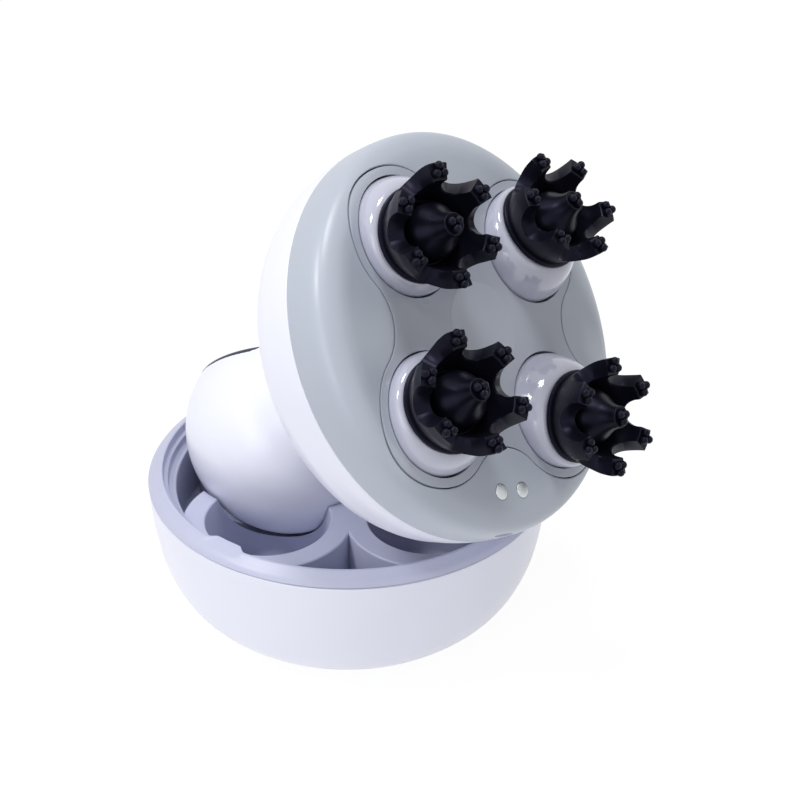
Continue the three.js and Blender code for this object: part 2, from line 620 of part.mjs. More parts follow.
function makeCloverPanel() {
  const under = [[DISC_RADIUS, -DISC_RADIUS], [0, -DISC_RADIUS]];
  const plate = meet(slab(cloverOutline(0), -PANEL_THICKNESS, OVERRUN), revolve([...FACE_OUTSIDE, ...under]));
  const flange = meet(slab(cloverOutline(PANEL_FLANGE), FLANGE_LOW, -PANEL_THICKNESS),
    rod(DISC_RADIUS - PANEL_FLANGE_EDGE, FLANGE_LOW - OVERRUN, 0, LARGE_ROUND));
  const wells = HEADS.map((head) => rod(POD_OPENING_RADIUS, -PANEL_THICKNESS, OVERRUN, MEDIUM_ROUND)
    .translate(...headPlace(head), 0));
  const necks = HEADS.map((head) => rod(POD_HUB_RADIUS + 2 * GAP, FLANGE_LOW - OVERRUN, 0, MEDIUM_ROUND)
    .translate(...headPlace(head), 0));
  const seat = rod(CAP_RADIUS, -CAP_SINK - CAP_THICKNESS - GAP, OVERRUN, MEDIUM_ROUND);
  return cut(join(plate, flange), ...wells, ...necks, seat);
}

function contactPlaces() {
  return [-1, 1].map((side) => [(side * CONTACT_SPACING) / 2, -CONTACT_CIRCLE]);
}

function makeContact() {
  const flange = CONTACT_RADIUS + CONTACT_FLANGE_WIDTH;
  const flangeTop = -FACE_WALL - 2 * GAP;
  const flangeLow = flangeTop - CONTACT_FLANGE_THICKNESS;
  return revolve([[0, CONTACT_PROUD - CONTACT_LENGTH], [CONTACT_RADIUS, CONTACT_PROUD - CONTACT_LENGTH],
    [CONTACT_RADIUS, flangeLow], [flange, flangeLow], [flange, flangeTop], [CONTACT_RADIUS, flangeTop],
    [CONTACT_RADIUS, CONTACT_PROUD], [0, CONTACT_PROUD]], SMALL_ROUND);
}

const BACK_OUTSIDE = smooth([[DISC_RADIUS, BACK_TOP], ...insetRows(DISC_RADIUS, BACK_CURVE, 0, -1),
  [NECK_ROOT_RADIUS, -SHELL_BACK_DEPTH]], 7);

function makeBackShell() {
  const insideEdge = DISC_RADIUS - DISC_WALL;
  const floor = DISC_WALL - SHELL_BACK_DEPTH;
  const inside = smooth([[NECK_ROOT_RADIUS, floor], ...insetRows(DISC_RADIUS, BACK_INNER_CURVE, 0, -1),
    [insideEdge, BACK_TOP]], 4);
  const collarInner = COLLAR_RADIUS - COLLAR_WALL;
  const collarLow = -SHELL_BACK_DEPTH - COLLAR_LENGTH;
  const body = revolve([...BACK_OUTSIDE, [COLLAR_RADIUS, -SHELL_BACK_DEPTH], [COLLAR_RADIUS, collarLow],
    [collarInner, collarLow], [collarInner, floor], ...inside, BACK_OUTSIDE[0]]);
  const bosses = around(BOSS_COUNT, BOSS_CIRCLE, () => rod(BOSS_RADIUS, BOSS_LOW, GEAR_PLATE_LOW - GAP));
  const bores = around(BOSS_COUNT, BOSS_CIRCLE,
    () => rod(SCREW_RADIUS + GAP, FRAME_TOP - HOUSING_SCREW_LENGTH - GAP, 0));
  return cut(join(body, ...bosses), ...bores);
}

function makeFramePlate() {
  const plate = rod(FRAME_PLATE_RADIUS, FRAME_LOW, FRAME_TOP, LARGE_ROUND);
  const bushHole = SHAFT_RADIUS + GAP + BUSH_WALL + GAP;
  const bushes = HEADS.map((head) => rod(bushHole, -DISC_RADIUS, 0, MEDIUM_ROUND)
    .translate(...headPlace(head), 0));
  const screws = around(BOSS_COUNT, BOSS_CIRCLE, () => rod(SCREW_RADIUS + GAP, -DISC_RADIUS, 0));
  return cut(plate, ...bushes, ...screws);
}

function makeGearPlate() {
  const plate = rod(GEAR_PLATE_RADIUS, GEAR_PLATE_LOW, GEAR_PLATE_TOP, LARGE_ROUND);
  const posts = around(BOSS_COUNT, BOSS_CIRCLE, () => rod(BOSS_RADIUS, GEAR_PLATE_LOW, FRAME_LOW - GAP));
  const shafts = HEADS.map((head) => rod(SHAFT_RADIUS + GAP, -DISC_RADIUS, 0, MEDIUM_ROUND)
    .translate(...headPlace(head), 0));
  const screws = around(BOSS_COUNT, BOSS_CIRCLE, () => rod(SCREW_RADIUS + GAP, -DISC_RADIUS, 0));
  const motorHoles = around(MOTOR_SCREW_COUNT, MOTOR_SCREW_CIRCLE,
    () => rod(MOTOR_SCREW_RADIUS + GAP, -DISC_RADIUS, 0));
  const sinks = around(MOTOR_SCREW_COUNT, MOTOR_SCREW_CIRCLE,
    () => rod(MOTOR_SCREW_HEAD_RADIUS + GAP, motorScrewHeadLow() - GAP, 0));
  const middle = rod(DRIVE_SHAFT_RADIUS + 2 * GAP, -DISC_RADIUS, 0, MEDIUM_ROUND);
  return cut(join(plate, ...posts), ...shafts, ...screws, ...motorHoles, ...sinks, middle);
}

function motorScrewHeadLow() {
  return GEAR_PLATE_TOP - GAP - MOTOR_SCREW_HEAD_HEIGHT;
}

function makeGearhead() {
  const holes = around(MOTOR_SCREW_COUNT, MOTOR_SCREW_CIRCLE,
    () => rod(MOTOR_SCREW_RADIUS + GAP, motorScrewHeadLow() - MOTOR_SCREW_LENGTH - GAP, 0));
  const bore = rod(DRIVE_SHAFT_RADIUS + GAP, GEARHEAD_TOP - DRIVE_SHAFT_IN_GEARHEAD - GAP, 0);
  return cut(rod(GEARHEAD_RADIUS, GEARHEAD_LOW, GEARHEAD_TOP, MEDIUM_ROUND), ...holes, bore);
}

function makeMotor() {
  const low = MOTOR_TOP - MOTOR_LENGTH;
  return revolve([[0, low - MOTOR_TAIL_LENGTH], [MOTOR_TAIL_RADIUS, low - MOTOR_TAIL_LENGTH],
    [MOTOR_TAIL_RADIUS, low], [MOTOR_RADIUS, low], [MOTOR_RADIUS, MOTOR_TOP], [0, MOTOR_TOP]], MEDIUM_ROUND);
}

function gearOutline(teeth) {
  const pitch = (2 * Math.PI) / teeth;
  const tip = GEAR_MODULE * (teeth / 2 + TOOTH_ADDENDUM);
  const root = GEAR_MODULE * (teeth / 2 - TOOTH_DEDENDUM);
  const outline = [];
  for (let tooth = 0; tooth < teeth; tooth += 1) {
    const middle = tooth * pitch;
    outline.push(polar(root, middle - TOOTH_ROOT_HALF * pitch), polar(tip, middle - TOOTH_TIP_HALF * pitch),
      polar(tip, middle + TOOTH_TIP_HALF * pitch), polar(root, middle + TOOTH_ROOT_HALF * pitch));
  }
  return outline;
}

function makeGear(teeth, boreRadius) {
  return cut(slab(gearOutline(teeth), GEAR_LOW, GEAR_TOP), rod(boreRadius, -DISC_RADIUS, 0));
}

// A head's gear is turned so that one of its gaps takes the sun gear's tooth on the line between them.
function meshTurn(head) {
  const towards = Math.atan2(head.side[1], head.side[0]);
  const sunPhase = (SUN_TEETH * towards) / (2 * Math.PI);
  return towards + Math.PI - ((0.5 - sunPhase) * 2 * Math.PI) / HEAD_TEETH;
}

// A pod is a round dome whose flat top leans and shifts towards +X.
function podRing(share) {
  const lean = radians(HEAD_TILT) * share ** POD_LEAN_EASE;
  const base = new THREE.Vector3(0, 0, 2 * GAP - PANEL_THICKNESS);
  const reach = CROWN_BASE_FROM_PIVOT - GAP;
  const top = new THREE.Vector3(reach * Math.sin(radians(HEAD_TILT)), 0,
    reach * Math.cos(radians(HEAD_TILT)) - PIVOT_DEPTH);
  const centre = base.clone().lerp(top, share);
  centre.x = top.x * share ** POD_SHIFT_EASE;
  const low = POD_OPENING_RADIUS - 2 * GAP;
  const radius = POD_TOP_RADIUS + (low - POD_TOP_RADIUS) * Math.sqrt(1 - share ** POD_ROUNDNESS);
  const tilt = new THREE.Matrix4().makeRotationY(lean).setPosition(centre);
  return Array.from({ length: MEDIUM_ROUND }, (_, i) => {
    const [x, y] = polar(radius, (2 * Math.PI * i) / MEDIUM_ROUND);
    return new THREE.Vector3(x, y, 0).applyMatrix4(tilt);
  });
}

function loft(rings) {
  const count = rings[0].length;
  const middle = (ring) => ring.reduce((sum, point) => sum.add(point), new THREE.Vector3())
    .divideScalar(count);
  const points = [...rings.flat(), middle(rings[0]), middle(rings.at(-1))];
  const faces = [];
  const lastRing = (rings.length - 1) * count;
  for (let i = 0; i < count; i += 1) {
    const next = (i + 1) % count;
    for (let ring = 0; ring < rings.length - 1; ring += 1) {
      const [low, high] = [ring * count, (ring + 1) * count];
      faces.push(low + i, low + next, high + next, low + i, high + next, high + i);
    }
    faces.push(points.length - 2, next, i, points.length - 1, lastRing + i, lastRing + next);
  }
  const geometry = new THREE.BufferGeometry().setFromPoints(points);
  geometry.setIndex(faces);
  return geometry;
}

function makePod() {
  const shares = Array.from({ length: POD_STEPS + 1 }, (_, i) => Math.sin((Math.PI / 2) * (i / POD_STEPS)));
  const dome = loft(shares.map(podRing));
  const hub = rod(POD_HUB_RADIUS, POD_SEAL_LOW, 0, MEDIUM_ROUND);
  const spigotTop = CROWN_BASE_FROM_PIVOT + SPIGOT_LENGTH;
  const spigot = rod(SPIGOT_RADIUS, CROWN_BASE_FROM_PIVOT - 2 * SPIGOT_LENGTH, spigotTop, MEDIUM_ROUND)
    .rotateY(radians(HEAD_TILT)).translate(0, 0, -PIVOT_DEPTH);
  const bore = rod(SHAFT_RADIUS + GAP, POD_SEAL_LOW - OVERRUN, POD_SEAL_LOW + SHAFT_INTO_POD + GAP);
  return cut(join(dome, hub, spigot), bore);
}

function tipBeads(radius, height) {
  return around(BEADS_PER_TIP, BEAD_CIRCLE, () => new THREE.OctahedronGeometry(BEAD_RADIUS))
    .map((bead) => bead.translate(radius, 0, height + BEAD_RISE));
}

function makeCrown() {
  const tipInner = CROWN_TIP_RADIUS - FINGER_THICKNESS;
  const boreDepth = SPIGOT_LENGTH + GAP;
  const profile = [[0, boreDepth], [SPIGOT_RADIUS + GAP, boreDepth], [SPIGOT_RADIUS + GAP, 0],
    [CROWN_BASE_RADIUS, 0], [CROWN_BASE_RADIUS, CROWN_BASE_THICKNESS],
    [CROWN_BASE_RADIUS - CROWN_GROOVE, CROWN_BASE_THICKNESS],
    ...insetRows(CROWN_TIP_RADIUS, CROWN_CURVE, CROWN_TIP_HEIGHT, -1), [CROWN_TIP_RADIUS, CROWN_TIP_HEIGHT],
    [tipInner, CROWN_TIP_HEIGHT], ...insetRows(tipInner, CUP_CURVE, CROWN_TIP_HEIGHT, -1),
    [CUP_FLOOR_RADIUS, CUP_FLOOR_HEIGHT], [DOME_RADIUS, CUP_FLOOR_HEIGHT + DOME_STEP], ...DOME_CURVE,
    [POST_RADIUS, POST_HEIGHT], [0, POST_HEIGHT]];
  const near = CUP_FLOOR_RADIUS;
  const far = CROWN_TIP_RADIUS + OVERRUN;
  const scoops = Array.from({ length: FINGER_COUNT }, (_, i) => new THREE.CylinderGeometry(
    far * SCOOP_SPREAD, near * SCOOP_SPREAD, far - near, SMALL_ROUND)
    .rotateZ(-Math.PI / 2).scale(1, 1, SCOOP_STRETCH).translate((far + near) / 2, 0, CROWN_TIP_HEIGHT)
    .rotateZ((2 * Math.PI * (i + 0.5)) / FINGER_COUNT));
  const fingers = Array.from({ length: FINGER_COUNT }, (_, i) => tipBeads(
    CROWN_TIP_RADIUS - FINGER_THICKNESS / 2, CROWN_TIP_HEIGHT)
    .map((bead) => bead.rotateZ((2 * Math.PI * i) / FINGER_COUNT)));
  const cup = cut(revolve(profile, CROWN_ROUND), ...scoops);
  return join(cup, ...fingers.flat(), ...tipBeads(0, POST_HEIGHT));
}

function buildHeads(massager) {
  const pod = makePod();
  const crown = makeCrown();
  const bush = tube(SHAFT_RADIUS + GAP, SHAFT_RADIUS + GAP + BUSH_WALL, FRAME_LOW - GAP, FRAME_TOP,
    SMALL_ROUND);
  const seal = tube(POD_HUB_RADIUS + GAP, POD_HUB_RADIUS + GAP + POD_SEAL_WIDTH, POD_SEAL_LOW,
    FLANGE_LOW - GAP);
  const shaft = rod(SHAFT_RADIUS, GEAR_PLATE_LOW, POD_SEAL_LOW + SHAFT_INTO_POD);
  const spindle = join(slab(gearOutline(HEAD_TEETH), GEAR_LOW, GEAR_TOP), shaft);
  for (const head of HEADS) {
    const place = new THREE.Group();
    place.position.set(...headPlace(head), 0);
    massager.add(place);
    const body = new THREE.Group();
    body.rotation.z = radians(head.leanTowards);
    place.add(body);
    addPiece(body, `pod_${head.name}`, pod, LILAC_GLOSS);
    const leaning = new THREE.Group();
    leaning.position.z = -PIVOT_DEPTH;
    leaning.rotation.y = radians(HEAD_TILT);
    body.add(leaning);
    const top = addPiece(leaning, `crown_${head.name}`, crown, BLACK_SILICONE);
    top.position.z = CROWN_BASE_FROM_PIVOT;
    top.rotation.z = radians(head.crownTurn - head.leanTowards);
    addPiece(place, `gear_spindle_${head.name}`, spindle, ACETAL).rotation.z = meshTurn(head);
    addPiece(place, `shaft_bush_${head.name}`, bush, BRONZE);
    addPiece(place, `pod_seal_${head.name}`, seal, RUBBER);
  }
}

function buildDrive(massager) {
  const shaftLow = GEARHEAD_TOP - DRIVE_SHAFT_IN_GEARHEAD;
  addPiece(massager, 'drive_shaft', rod(DRIVE_SHAFT_RADIUS, shaftLow, GEAR_TOP), STEEL);
  addPiece(massager, 'drive_gear', makeGear(SUN_TEETH, DRIVE_SHAFT_RADIUS + GAP), ACETAL);
  addPiece(massager, 'frame_plate', makeFramePlate(), INNER_BLACK);
  addPiece(massager, 'gear_plate', makeGearPlate(), INNER_BLACK);
  addPiece(massager, 'motor_gearhead', makeGearhead(), STEEL);
  addPiece(massager, 'drive_motor', makeMotor(), STEEL);
  const motorScrews = around(MOTOR_SCREW_COUNT, MOTOR_SCREW_CIRCLE, () => makeScrew(MOTOR_SCREW_RADIUS,
    MOTOR_SCREW_HEAD_RADIUS, 0, MOTOR_SCREW_HEAD_HEIGHT, MOTOR_SCREW_LENGTH).rotateX(Math.PI)
    .translate(0, 0, motorScrewHeadLow() + MOTOR_SCREW_HEAD_HEIGHT));
  addEach(massager, 'motor_screw', motorScrews, STEEL);
  const housingScrews = around(BOSS_COUNT, BOSS_CIRCLE, () => makeScrew(SCREW_RADIUS, SCREW_HEAD_RADIUS, 0,
    SCREW_HEAD_HEIGHT, HOUSING_SCREW_LENGTH).rotateX(Math.PI)
    .translate(0, 0, FRAME_TOP + GAP + SCREW_HEAD_HEIGHT));
  addEach(massager, 'housing_screw', housingScrews, STEEL);
}

// Handle knob: an egg of revolution on a short neck, with a flat that holds the power button

const knobCentre = new THREE.Vector3(...KNOB_CENTRE);
const neckRoot = new THREE.Vector3(0, 0, -SHELL_BACK_DEPTH - GAP);
const knobAxis = neckRoot.clone().sub(knobCentre);
const upright = new THREE.Vector3(0, 0, 1);
const knobFrame = new THREE.Matrix4().makeRotationFromQuaternion(
  new THREE.Quaternion().setFromUnitVectors(upright, knobAxis.clone().normalize())).setPosition(knobCentre);
const flatFrame = new THREE.Matrix4().makeRotationZ(radians(-FLAT_TURN))
  .multiply(new THREE.Matrix4().makeRotationX(radians(-90 - FLAT_DIP))).setPosition(knobCentre);

function knobProfile(inset, steps) {
  const radius = KNOB_RADIUS - inset;
  const back = arc([0, 0], 1, -Math.PI / 2, 0, steps).map(([x, y]) => [x * radius, y * (KNOB_BACK - inset)]);
  const root = knobAxis.length();
  const shoulder = arc([0, 0], 1, 0, radians(KNOB_SHOULDER_ANGLE), 3)
    .map(([x, y]) => [x * radius, y * KNOB_FRONT]);
  const neck = NECK_RADIUS - inset;
  const front = smooth([...shoulder, [(radius + neck) / 2 - KNOB_SHOULDER_SINK, KNOB_SHOULDER_HEIGHT],
    ...insetRows(neck, NECK_CURVE.map(([growth, before]) => [-growth, before]), root, -1),
    [NECK_ROOT_RADIUS - inset, root],
    [NECK_ROOT_RADIUS - inset + NECK_SKIRT_GROWTH, root + NECK_SKIRT_HEIGHT],
  ], steps + 3);
  return [...back, ...front.slice(1), [0, root + NECK_SKIRT_HEIGHT]];
}

function makeHandleShell() {
  const outside = revolve(knobProfile(0, 5), KNOB_ROUND).applyMatrix4(knobFrame);
  const inside = revolve(knobProfile(KNOB_WALL, 3), MEDIUM_ROUND).applyMatrix4(knobFrame);
  const far = DISC_RADIUS * 2;
  const aboveNeck = block(-far, far, -far, far, neckRoot.z, far);
  const ledgeLow = ledgeTop() - LEDGE_THICKNESS;
  const pocket = rod(plateFlangeRadius() + GAP, ledgeTop(), far, KNOB_ROUND).applyMatrix4(flatFrame);
  const opening = rod(LEDGE_OPENING_RADIUS, ledgeLow - OVERRUN, far, KNOB_ROUND).applyMatrix4(flatFrame);
  const hollow = cut(inside, flatCut(KNOB_WALL, ledgeLow));
  return cut(outside, hollow, aboveNeck, flatCut(0, FLAT_DISTANCE), pocket, opening);
}

// What the flat takes off the knob: a plane with a flared wall where it runs into the neck.
function flatCut(grow, low) {
  const radius = RING_RADIUS + GAP + grow;
  const flareTop = low + FLAT_FLARE_HEIGHT + grow;
  return revolve([[0, low], [radius, low], [radius + FLAT_FLARE, flareTop], [0, flareTop]], KNOB_ROUND)
    .applyMatrix4(flatFrame);
}

// Heights along the flat's normal, measured from the knob's centre
const ringTop = () => FLAT_DISTANCE + GAP + RING_HEIGHT;
const plateTop = () => ringTop() - PLATE_SINK;
const plateFlangeRadius = () => RING_RADIUS - RING_BAND + RING_LIP_WALL;
const plateLow = () => plateTop() - PLATE_THICKNESS;
const ledgeTop = () => plateLow() - PLATE_FLANGE_THICKNESS - GAP;
const buttonTop = () => plateTop() + BUTTON_PROUD;
const buttonLow = () => buttonTop() - BUTTON_THICKNESS;
const stemLow = () => buttonLow() - BUTTON_STEM_LENGTH;
const plungerTop = () => stemLow() - GAP;
const boardTop = () => plungerTop() - PLUNGER_LENGTH - SWITCH_FLOOR - 3 * GAP - 2 * GAP;
const boardLow = () => boardTop() - BOARD_THICKNESS;

function makeRing() {
  const inner = RING_RADIUS - RING_BAND;
  const low = FLAT_DISTANCE + GAP;
  const crest = smooth([[RING_RADIUS, low], [RING_RADIUS - RING_DRAFT, low + RING_SIDE],
    [RING_RADIUS - RING_CREST, ringTop()], [inner, ringTop() - RING_FALL]], 3);
  return revolve([...crest, [inner, low - RING_LIP], [inner + RING_LIP_WALL, low - RING_LIP],
    [inner + RING_LIP_WALL, low], crest[0]], KNOB_ROUND);
}

function makeButtonPlate() {
  const outer = RING_RADIUS - RING_BAND - GAP;
  const flangeInner = outer - PLATE_FLANGE_STEP;
  const flange = plateFlangeRadius();
  const flangeTop = Math.min(FLAT_DISTANCE - RING_LIP, plateTop());
  const flangeLow = plateLow() - PLATE_FLANGE_THICKNESS;
  const hole = BUTTON_RADIUS + GAP;
  const body = revolve([[hole, plateLow()], [flangeInner, plateLow()], [flangeInner, flangeLow],
    [flange, flangeLow], [flange, flangeTop], [outer, flangeTop], [outer, plateTop()], [hole, plateTop()],
    [hole, plateLow()]], KNOB_ROUND);
  const posts = around(BOARD_POST_COUNT, BOARD_POST_CIRCLE,
    () => rod(BOARD_POST_RADIUS, boardTop() + GAP, plateLow() + GAP));
  return join(body, ...posts);
}

function makeButton() {
  return revolve([[0, stemLow()], [BUTTON_STEM_RADIUS, stemLow()], [BUTTON_STEM_RADIUS, buttonLow()],
    [BUTTON_RADIUS, buttonLow()], [BUTTON_RADIUS, buttonTop() - BUTTON_ROUND],
    [BUTTON_RADIUS - BUTTON_ROUND, buttonTop()], [0, buttonTop() - BUTTON_DISH]], MEDIUM_ROUND);
}

function makeSwitch() {
  const half = SWITCH_SIZE / 2;
  const low = boardTop() + GAP;
  const body = block(-half, half, -half, half, low, low + SWITCH_HEIGHT);
  return cut(body, rod(PLUNGER_RADIUS + GAP, low + SWITCH_FLOOR, FLAT_DISTANCE));
}

function makeCradle() {
  const reach = KNOB_RADIUS;
  const [, y, z] = CELL_PLACE;
  const webs = [-1, 1].map((side) => {
    const middle = side * CRADLE_WEB_OFFSET;
    return block(middle - CRADLE_WEB_THICKNESS / 2, middle + CRADLE_WEB_THICKNESS / 2, y - reach, y,
      z - reach, z + CELL_RADIUS);
  });
  const stripTop = y - CELL_RADIUS - GAP;
  const strip = block(-CRADLE_WEB_OFFSET, CRADLE_WEB_OFFSET, stripTop - CRADLE_STRIP_THICKNESS, stripTop,
    z - CRADLE_STRIP_WIDTH / 2, z + CRADLE_STRIP_WIDTH / 2);
  const hollow = revolve(knobProfile(KNOB_WALL + GAP, 3), MEDIUM_ROUND).applyMatrix4(knobFrame);
  const cell = makeCell(GAP);
  return cut(meet(join(...webs, strip), hollow), cell);
}

function makeCell(grow) {
  const half = CELL_LENGTH / 2 + grow;
  return rod(CELL_RADIUS + grow, -half, half, MEDIUM_ROUND).rotateY(Math.PI / 2).translate(...CELL_PLACE);
}

function buildHandle(massager) {
  addPiece(massager, 'handle_shell', makeHandleShell(), WHITE_SHELL);
  addPiece(massager, 'battery_cell', makeCell(0), CELL_WRAP);
  addPiece(massager, 'battery_cradle', makeCradle(), INNER_BLACK);
  const flat = new THREE.Group();
  flat.applyMatrix4(flatFrame);
  massager.add(flat);
  addPiece(flat, 'chrome_ring', makeRing(), CHROME);
  addPiece(flat, 'button_plate', makeButtonPlate(), WHITE_SHELL);
  addPiece(flat, 'power_button', makeButton(), LILAC_GLOSS);
  const sealTop = plateLow() - GAP;
  addPiece(flat, 'button_seal', tube(BUTTON_STEM_RADIUS + GAP, BUTTON_RADIUS + BUTTON_SEAL_OVERLAP,
    sealTop - BUTTON_SEAL_THICKNESS, sealTop), RUBBER);
  addPiece(flat, 'tact_switch', makeSwitch(), INNER_BLACK);
  addPiece(flat, 'switch_plunger', rod(PLUNGER_RADIUS, plungerTop() - PLUNGER_LENGTH, plungerTop()), ACETAL);
  addPiece(flat, 'control_board', rod(BOARD_RADIUS, boardLow(), boardTop(), KNOB_ROUND), BOARD_GREEN);
}

function buildDisc(massager) {
  addPiece(massager, 'back_shell', makeBackShell(), WHITE_SHELL);
  addPiece(massager, 'face_plate', makeFacePlate(), GREY_SHELL);
  addPiece(massager, 'clover_panel', makeCloverPanel(), GREY_PANEL);
  addPiece(massager, 'centre_cap', rod(CAP_RADIUS - GAP, -CAP_SINK - CAP_THICKNESS, -CAP_SINK, MEDIUM_ROUND),
    GREY_PANEL);
  const sealOuter = DISC_RADIUS - DISC_WALL - 2 * GAP;
  addPiece(massager, 'perimeter_seal', tube(sealOuter - SEAL_WIDTH, sealOuter,
    -PARTING_DEPTH - SEAL_HEIGHT / 2, SEAL_HEIGHT / 2 - PARTING_DEPTH, LARGE_ROUND), RUBBER);
  const contacts = contactPlaces().map(([x, y]) => makeContact().translate(x, y, 0));
  addEach(massager, 'charge_contact', contacts, CHROME);
}

function buildMassager() {
  const massager = new THREE.Group();
  massager.applyMatrix4(massagerFrame);
  buildDisc(massager);
  buildHeads(massager);
  buildDrive(massager);
  buildHandle(massager);
  return massager;
}

const scalpMassager = new THREE.Group();
scalpMassager.add(buildDock(), buildMassager());
export default scalpMassager;
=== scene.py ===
"""Electric scalp massager with four kneading heads, leaning in its bowl-shaped charging dock.

Shapes are worked out in millimetres from the sizes in the classes below, then written into each mesh in
metres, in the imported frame. The massager has its own frame: its origin is the middle of the face, +Z points
out of the face and -Y points to the side with the charging contacts.
"""
import logging
import math
from dataclasses import dataclass
from enum import Enum
from typing import Callable, Sequence

import bmesh
import bpy
from mathutils import Matrix, Vector


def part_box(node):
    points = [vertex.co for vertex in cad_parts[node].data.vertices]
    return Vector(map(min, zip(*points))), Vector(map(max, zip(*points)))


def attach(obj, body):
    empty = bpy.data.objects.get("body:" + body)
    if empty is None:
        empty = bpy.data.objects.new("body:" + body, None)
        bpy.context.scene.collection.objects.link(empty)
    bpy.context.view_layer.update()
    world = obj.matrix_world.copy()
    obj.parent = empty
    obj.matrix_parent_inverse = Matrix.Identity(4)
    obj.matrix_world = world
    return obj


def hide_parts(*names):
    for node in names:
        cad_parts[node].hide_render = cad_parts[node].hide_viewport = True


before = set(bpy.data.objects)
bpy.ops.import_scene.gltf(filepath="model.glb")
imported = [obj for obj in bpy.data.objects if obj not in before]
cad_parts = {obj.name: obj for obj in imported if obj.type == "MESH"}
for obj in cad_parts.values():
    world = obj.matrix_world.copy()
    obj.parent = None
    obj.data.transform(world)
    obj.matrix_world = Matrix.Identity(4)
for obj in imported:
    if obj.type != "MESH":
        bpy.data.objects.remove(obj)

log = logging.getLogger("massager")
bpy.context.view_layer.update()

MM = 0.001
GAP = 0.3
# Sizes in millimetres that several parts share.
WALL = 2.4
PANEL = 2.6
NECK_RADIUS = 24.3
HEAD_CIRCLE = 32.5
CONTACT_CIRCLE = 43.9
CONTACT_SPACING = 8.1
# Sides of a turned piece, by its size.
FINE = 160
MEDIUM = 96
COARSE = 48
# Columns round a piece whose outline is no circle.
COLUMNS = FINE * 2
# Edges sharper than this are kept hard. The liner has flat faces beside small rounds, so its angle is
# smaller.
SHARP_ANGLE = math.radians(38)
LINER_SHARP_ANGLE = math.radians(10)
MERGE_DISTANCE = 1e-4
SLIVER_LENGTH = 1e-5
BEVEL_STEPS = 5
LEAST_ROUGHNESS = 0.02
# Octaves of the noise in a finish: its mottling, its uneven gloss and its grain.
MOTTLE_DETAIL, GLOSS_DETAIL, GRAIN_DETAIL = 3.0, 4.0, 2.0
# Sockets of a colour Mix node, which have no names of their own.
MIX_A, MIX_B, MIX_RESULT = 6, 7, 2

Point = tuple[float, float]


class Turn(Enum):
    """Axes that a turn can be made about."""

    X = "X"
    Y = "Y"
    Z = "Z"


def turned(degrees: float, axis: Turn) -> Matrix:
    """Return a turn of so many degrees about an axis."""
    return Matrix.Rotation(math.radians(degrees), 4, axis.value)


MASSAGER = (Matrix.Translation((36.5, -26.2, 105.5)) @ turned(-36.32, Turn.Z) @ turned(57.12, Turn.Y)
            @ turned(67.2, Turn.Z))
DOCK = Matrix.Identity(4)
KNOB_CENTRE = (0.0, -11.3, -84.6)
HEAD_OFFSET = HEAD_CIRCLE / math.sqrt(2)
HEAD_PLACES = tuple(MASSAGER @ Matrix.Translation((x * HEAD_OFFSET, y * HEAD_OFFSET, 0))
                    for x, y in ((-1, 1), (1, 1), (-1, -1), (1, -1)))


# Outlines and meshes

def spline(points: Sequence[Point], steps: int) -> list[Point]:
    """Run a smooth curve through points.

    Args:
        points: the points that the curve passes.
        steps: how many equal steps of the curve's parameter to take.

    Returns:
        steps + 1 points, from the first to the last.
    """
    last = len(points) - 1
    curve = []
    for step in range(steps + 1):
        at = step / steps * last
        i = min(int(at), last - 1)
        t = at - i
        near = [points[max(i - 1, 0)], points[i], points[i + 1], points[min(i + 2, last)]]
        xy = []
        for p0, p1, p2, p3 in zip(*near):
            v0, v1 = (p2 - p0) / 2, (p3 - p1) / 2
            cubic = (2 * p1 - 2 * p2 + v0 + v1) * t ** 3
            square = (-3 * p1 + 3 * p2 - 2 * v0 - v1) * t ** 2
            xy.append(cubic + square + v0 * t + p1)
        curve.append((xy[0], xy[1]))
    return curve


def corner(centre: Point, radius: float, start: float, end: float, steps: int = 5) -> list[Point]:
    """Return the points of an arc.

    Args:
        centre: its centre, as radius and height.
        radius: its radius.
        start: the first point's angle in degrees, from outwards towards up.
        end: the last point's angle.
        steps: its number of chords.

    Returns:
        steps + 1 points.
    """
    angles = [math.radians(start + (end - start) * i / steps) for i in range(steps + 1)]
    return [(centre[0] + radius * math.cos(a), centre[1] + radius * math.sin(a)) for a in angles]


def between(points: Sequence[Point], at: float) -> float:
    """Read a height from a profile whose radii rise, at one radius."""
    for (r0, h0), (r1, h1) in zip(points, points[1:]):
        if r0 <= at <= r1 and r1 > r0:
            return h0 + (h1 - h0) * (at - r0) / (r1 - r0)
    return points[-1][1] if at > points[-1][0] else points[0][1]


def smoothstep(low: float, high: float, value: float) -> float:
    """Ease from 0 at low to 1 at high."""
    t = min(max((value - low) / (high - low), 0.0), 1.0)
    return t * t * (3 - 2 * t)


def finished(name: str, bm: bmesh.types.BMesh, place: Matrix) -> bpy.types.Object:
    """Turn a mesh in millimetres into an object at the origin, with its place in its mesh.

    Args:
        name: the object's name.
        bm: the mesh, which is used up.
        place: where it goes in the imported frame, in millimetres.

    Returns:
        The object, linked to the scene.
    """
    bmesh.ops.remove_doubles(bm, verts=bm.verts, dist=MERGE_DISTANCE)
    bmesh.ops.dissolve_degenerate(bm, dist=SLIVER_LENGTH, edges=bm.edges)
    bmesh.ops.transform(bm, matrix=Matrix.Scale(MM, 4) @ place, verts=bm.verts)
    bmesh.ops.recalc_face_normals(bm, faces=bm.faces)
    mesh = bpy.data.meshes.new(name)
    bm.to_mesh(mesh)
    bm.free()
    return shown(name, mesh)


def shown(name: str, mesh: bpy.types.Mesh) -> bpy.types.Object:
    """Link a mesh as a smooth-shaded object with its hard edges kept."""
    mesh.shade_smooth()
    mesh.set_sharp_from_angle(angle=SHARP_ANGLE)
    piece = bpy.data.objects.new(name, mesh)
    bpy.context.scene.collection.objects.link(piece)
    return piece


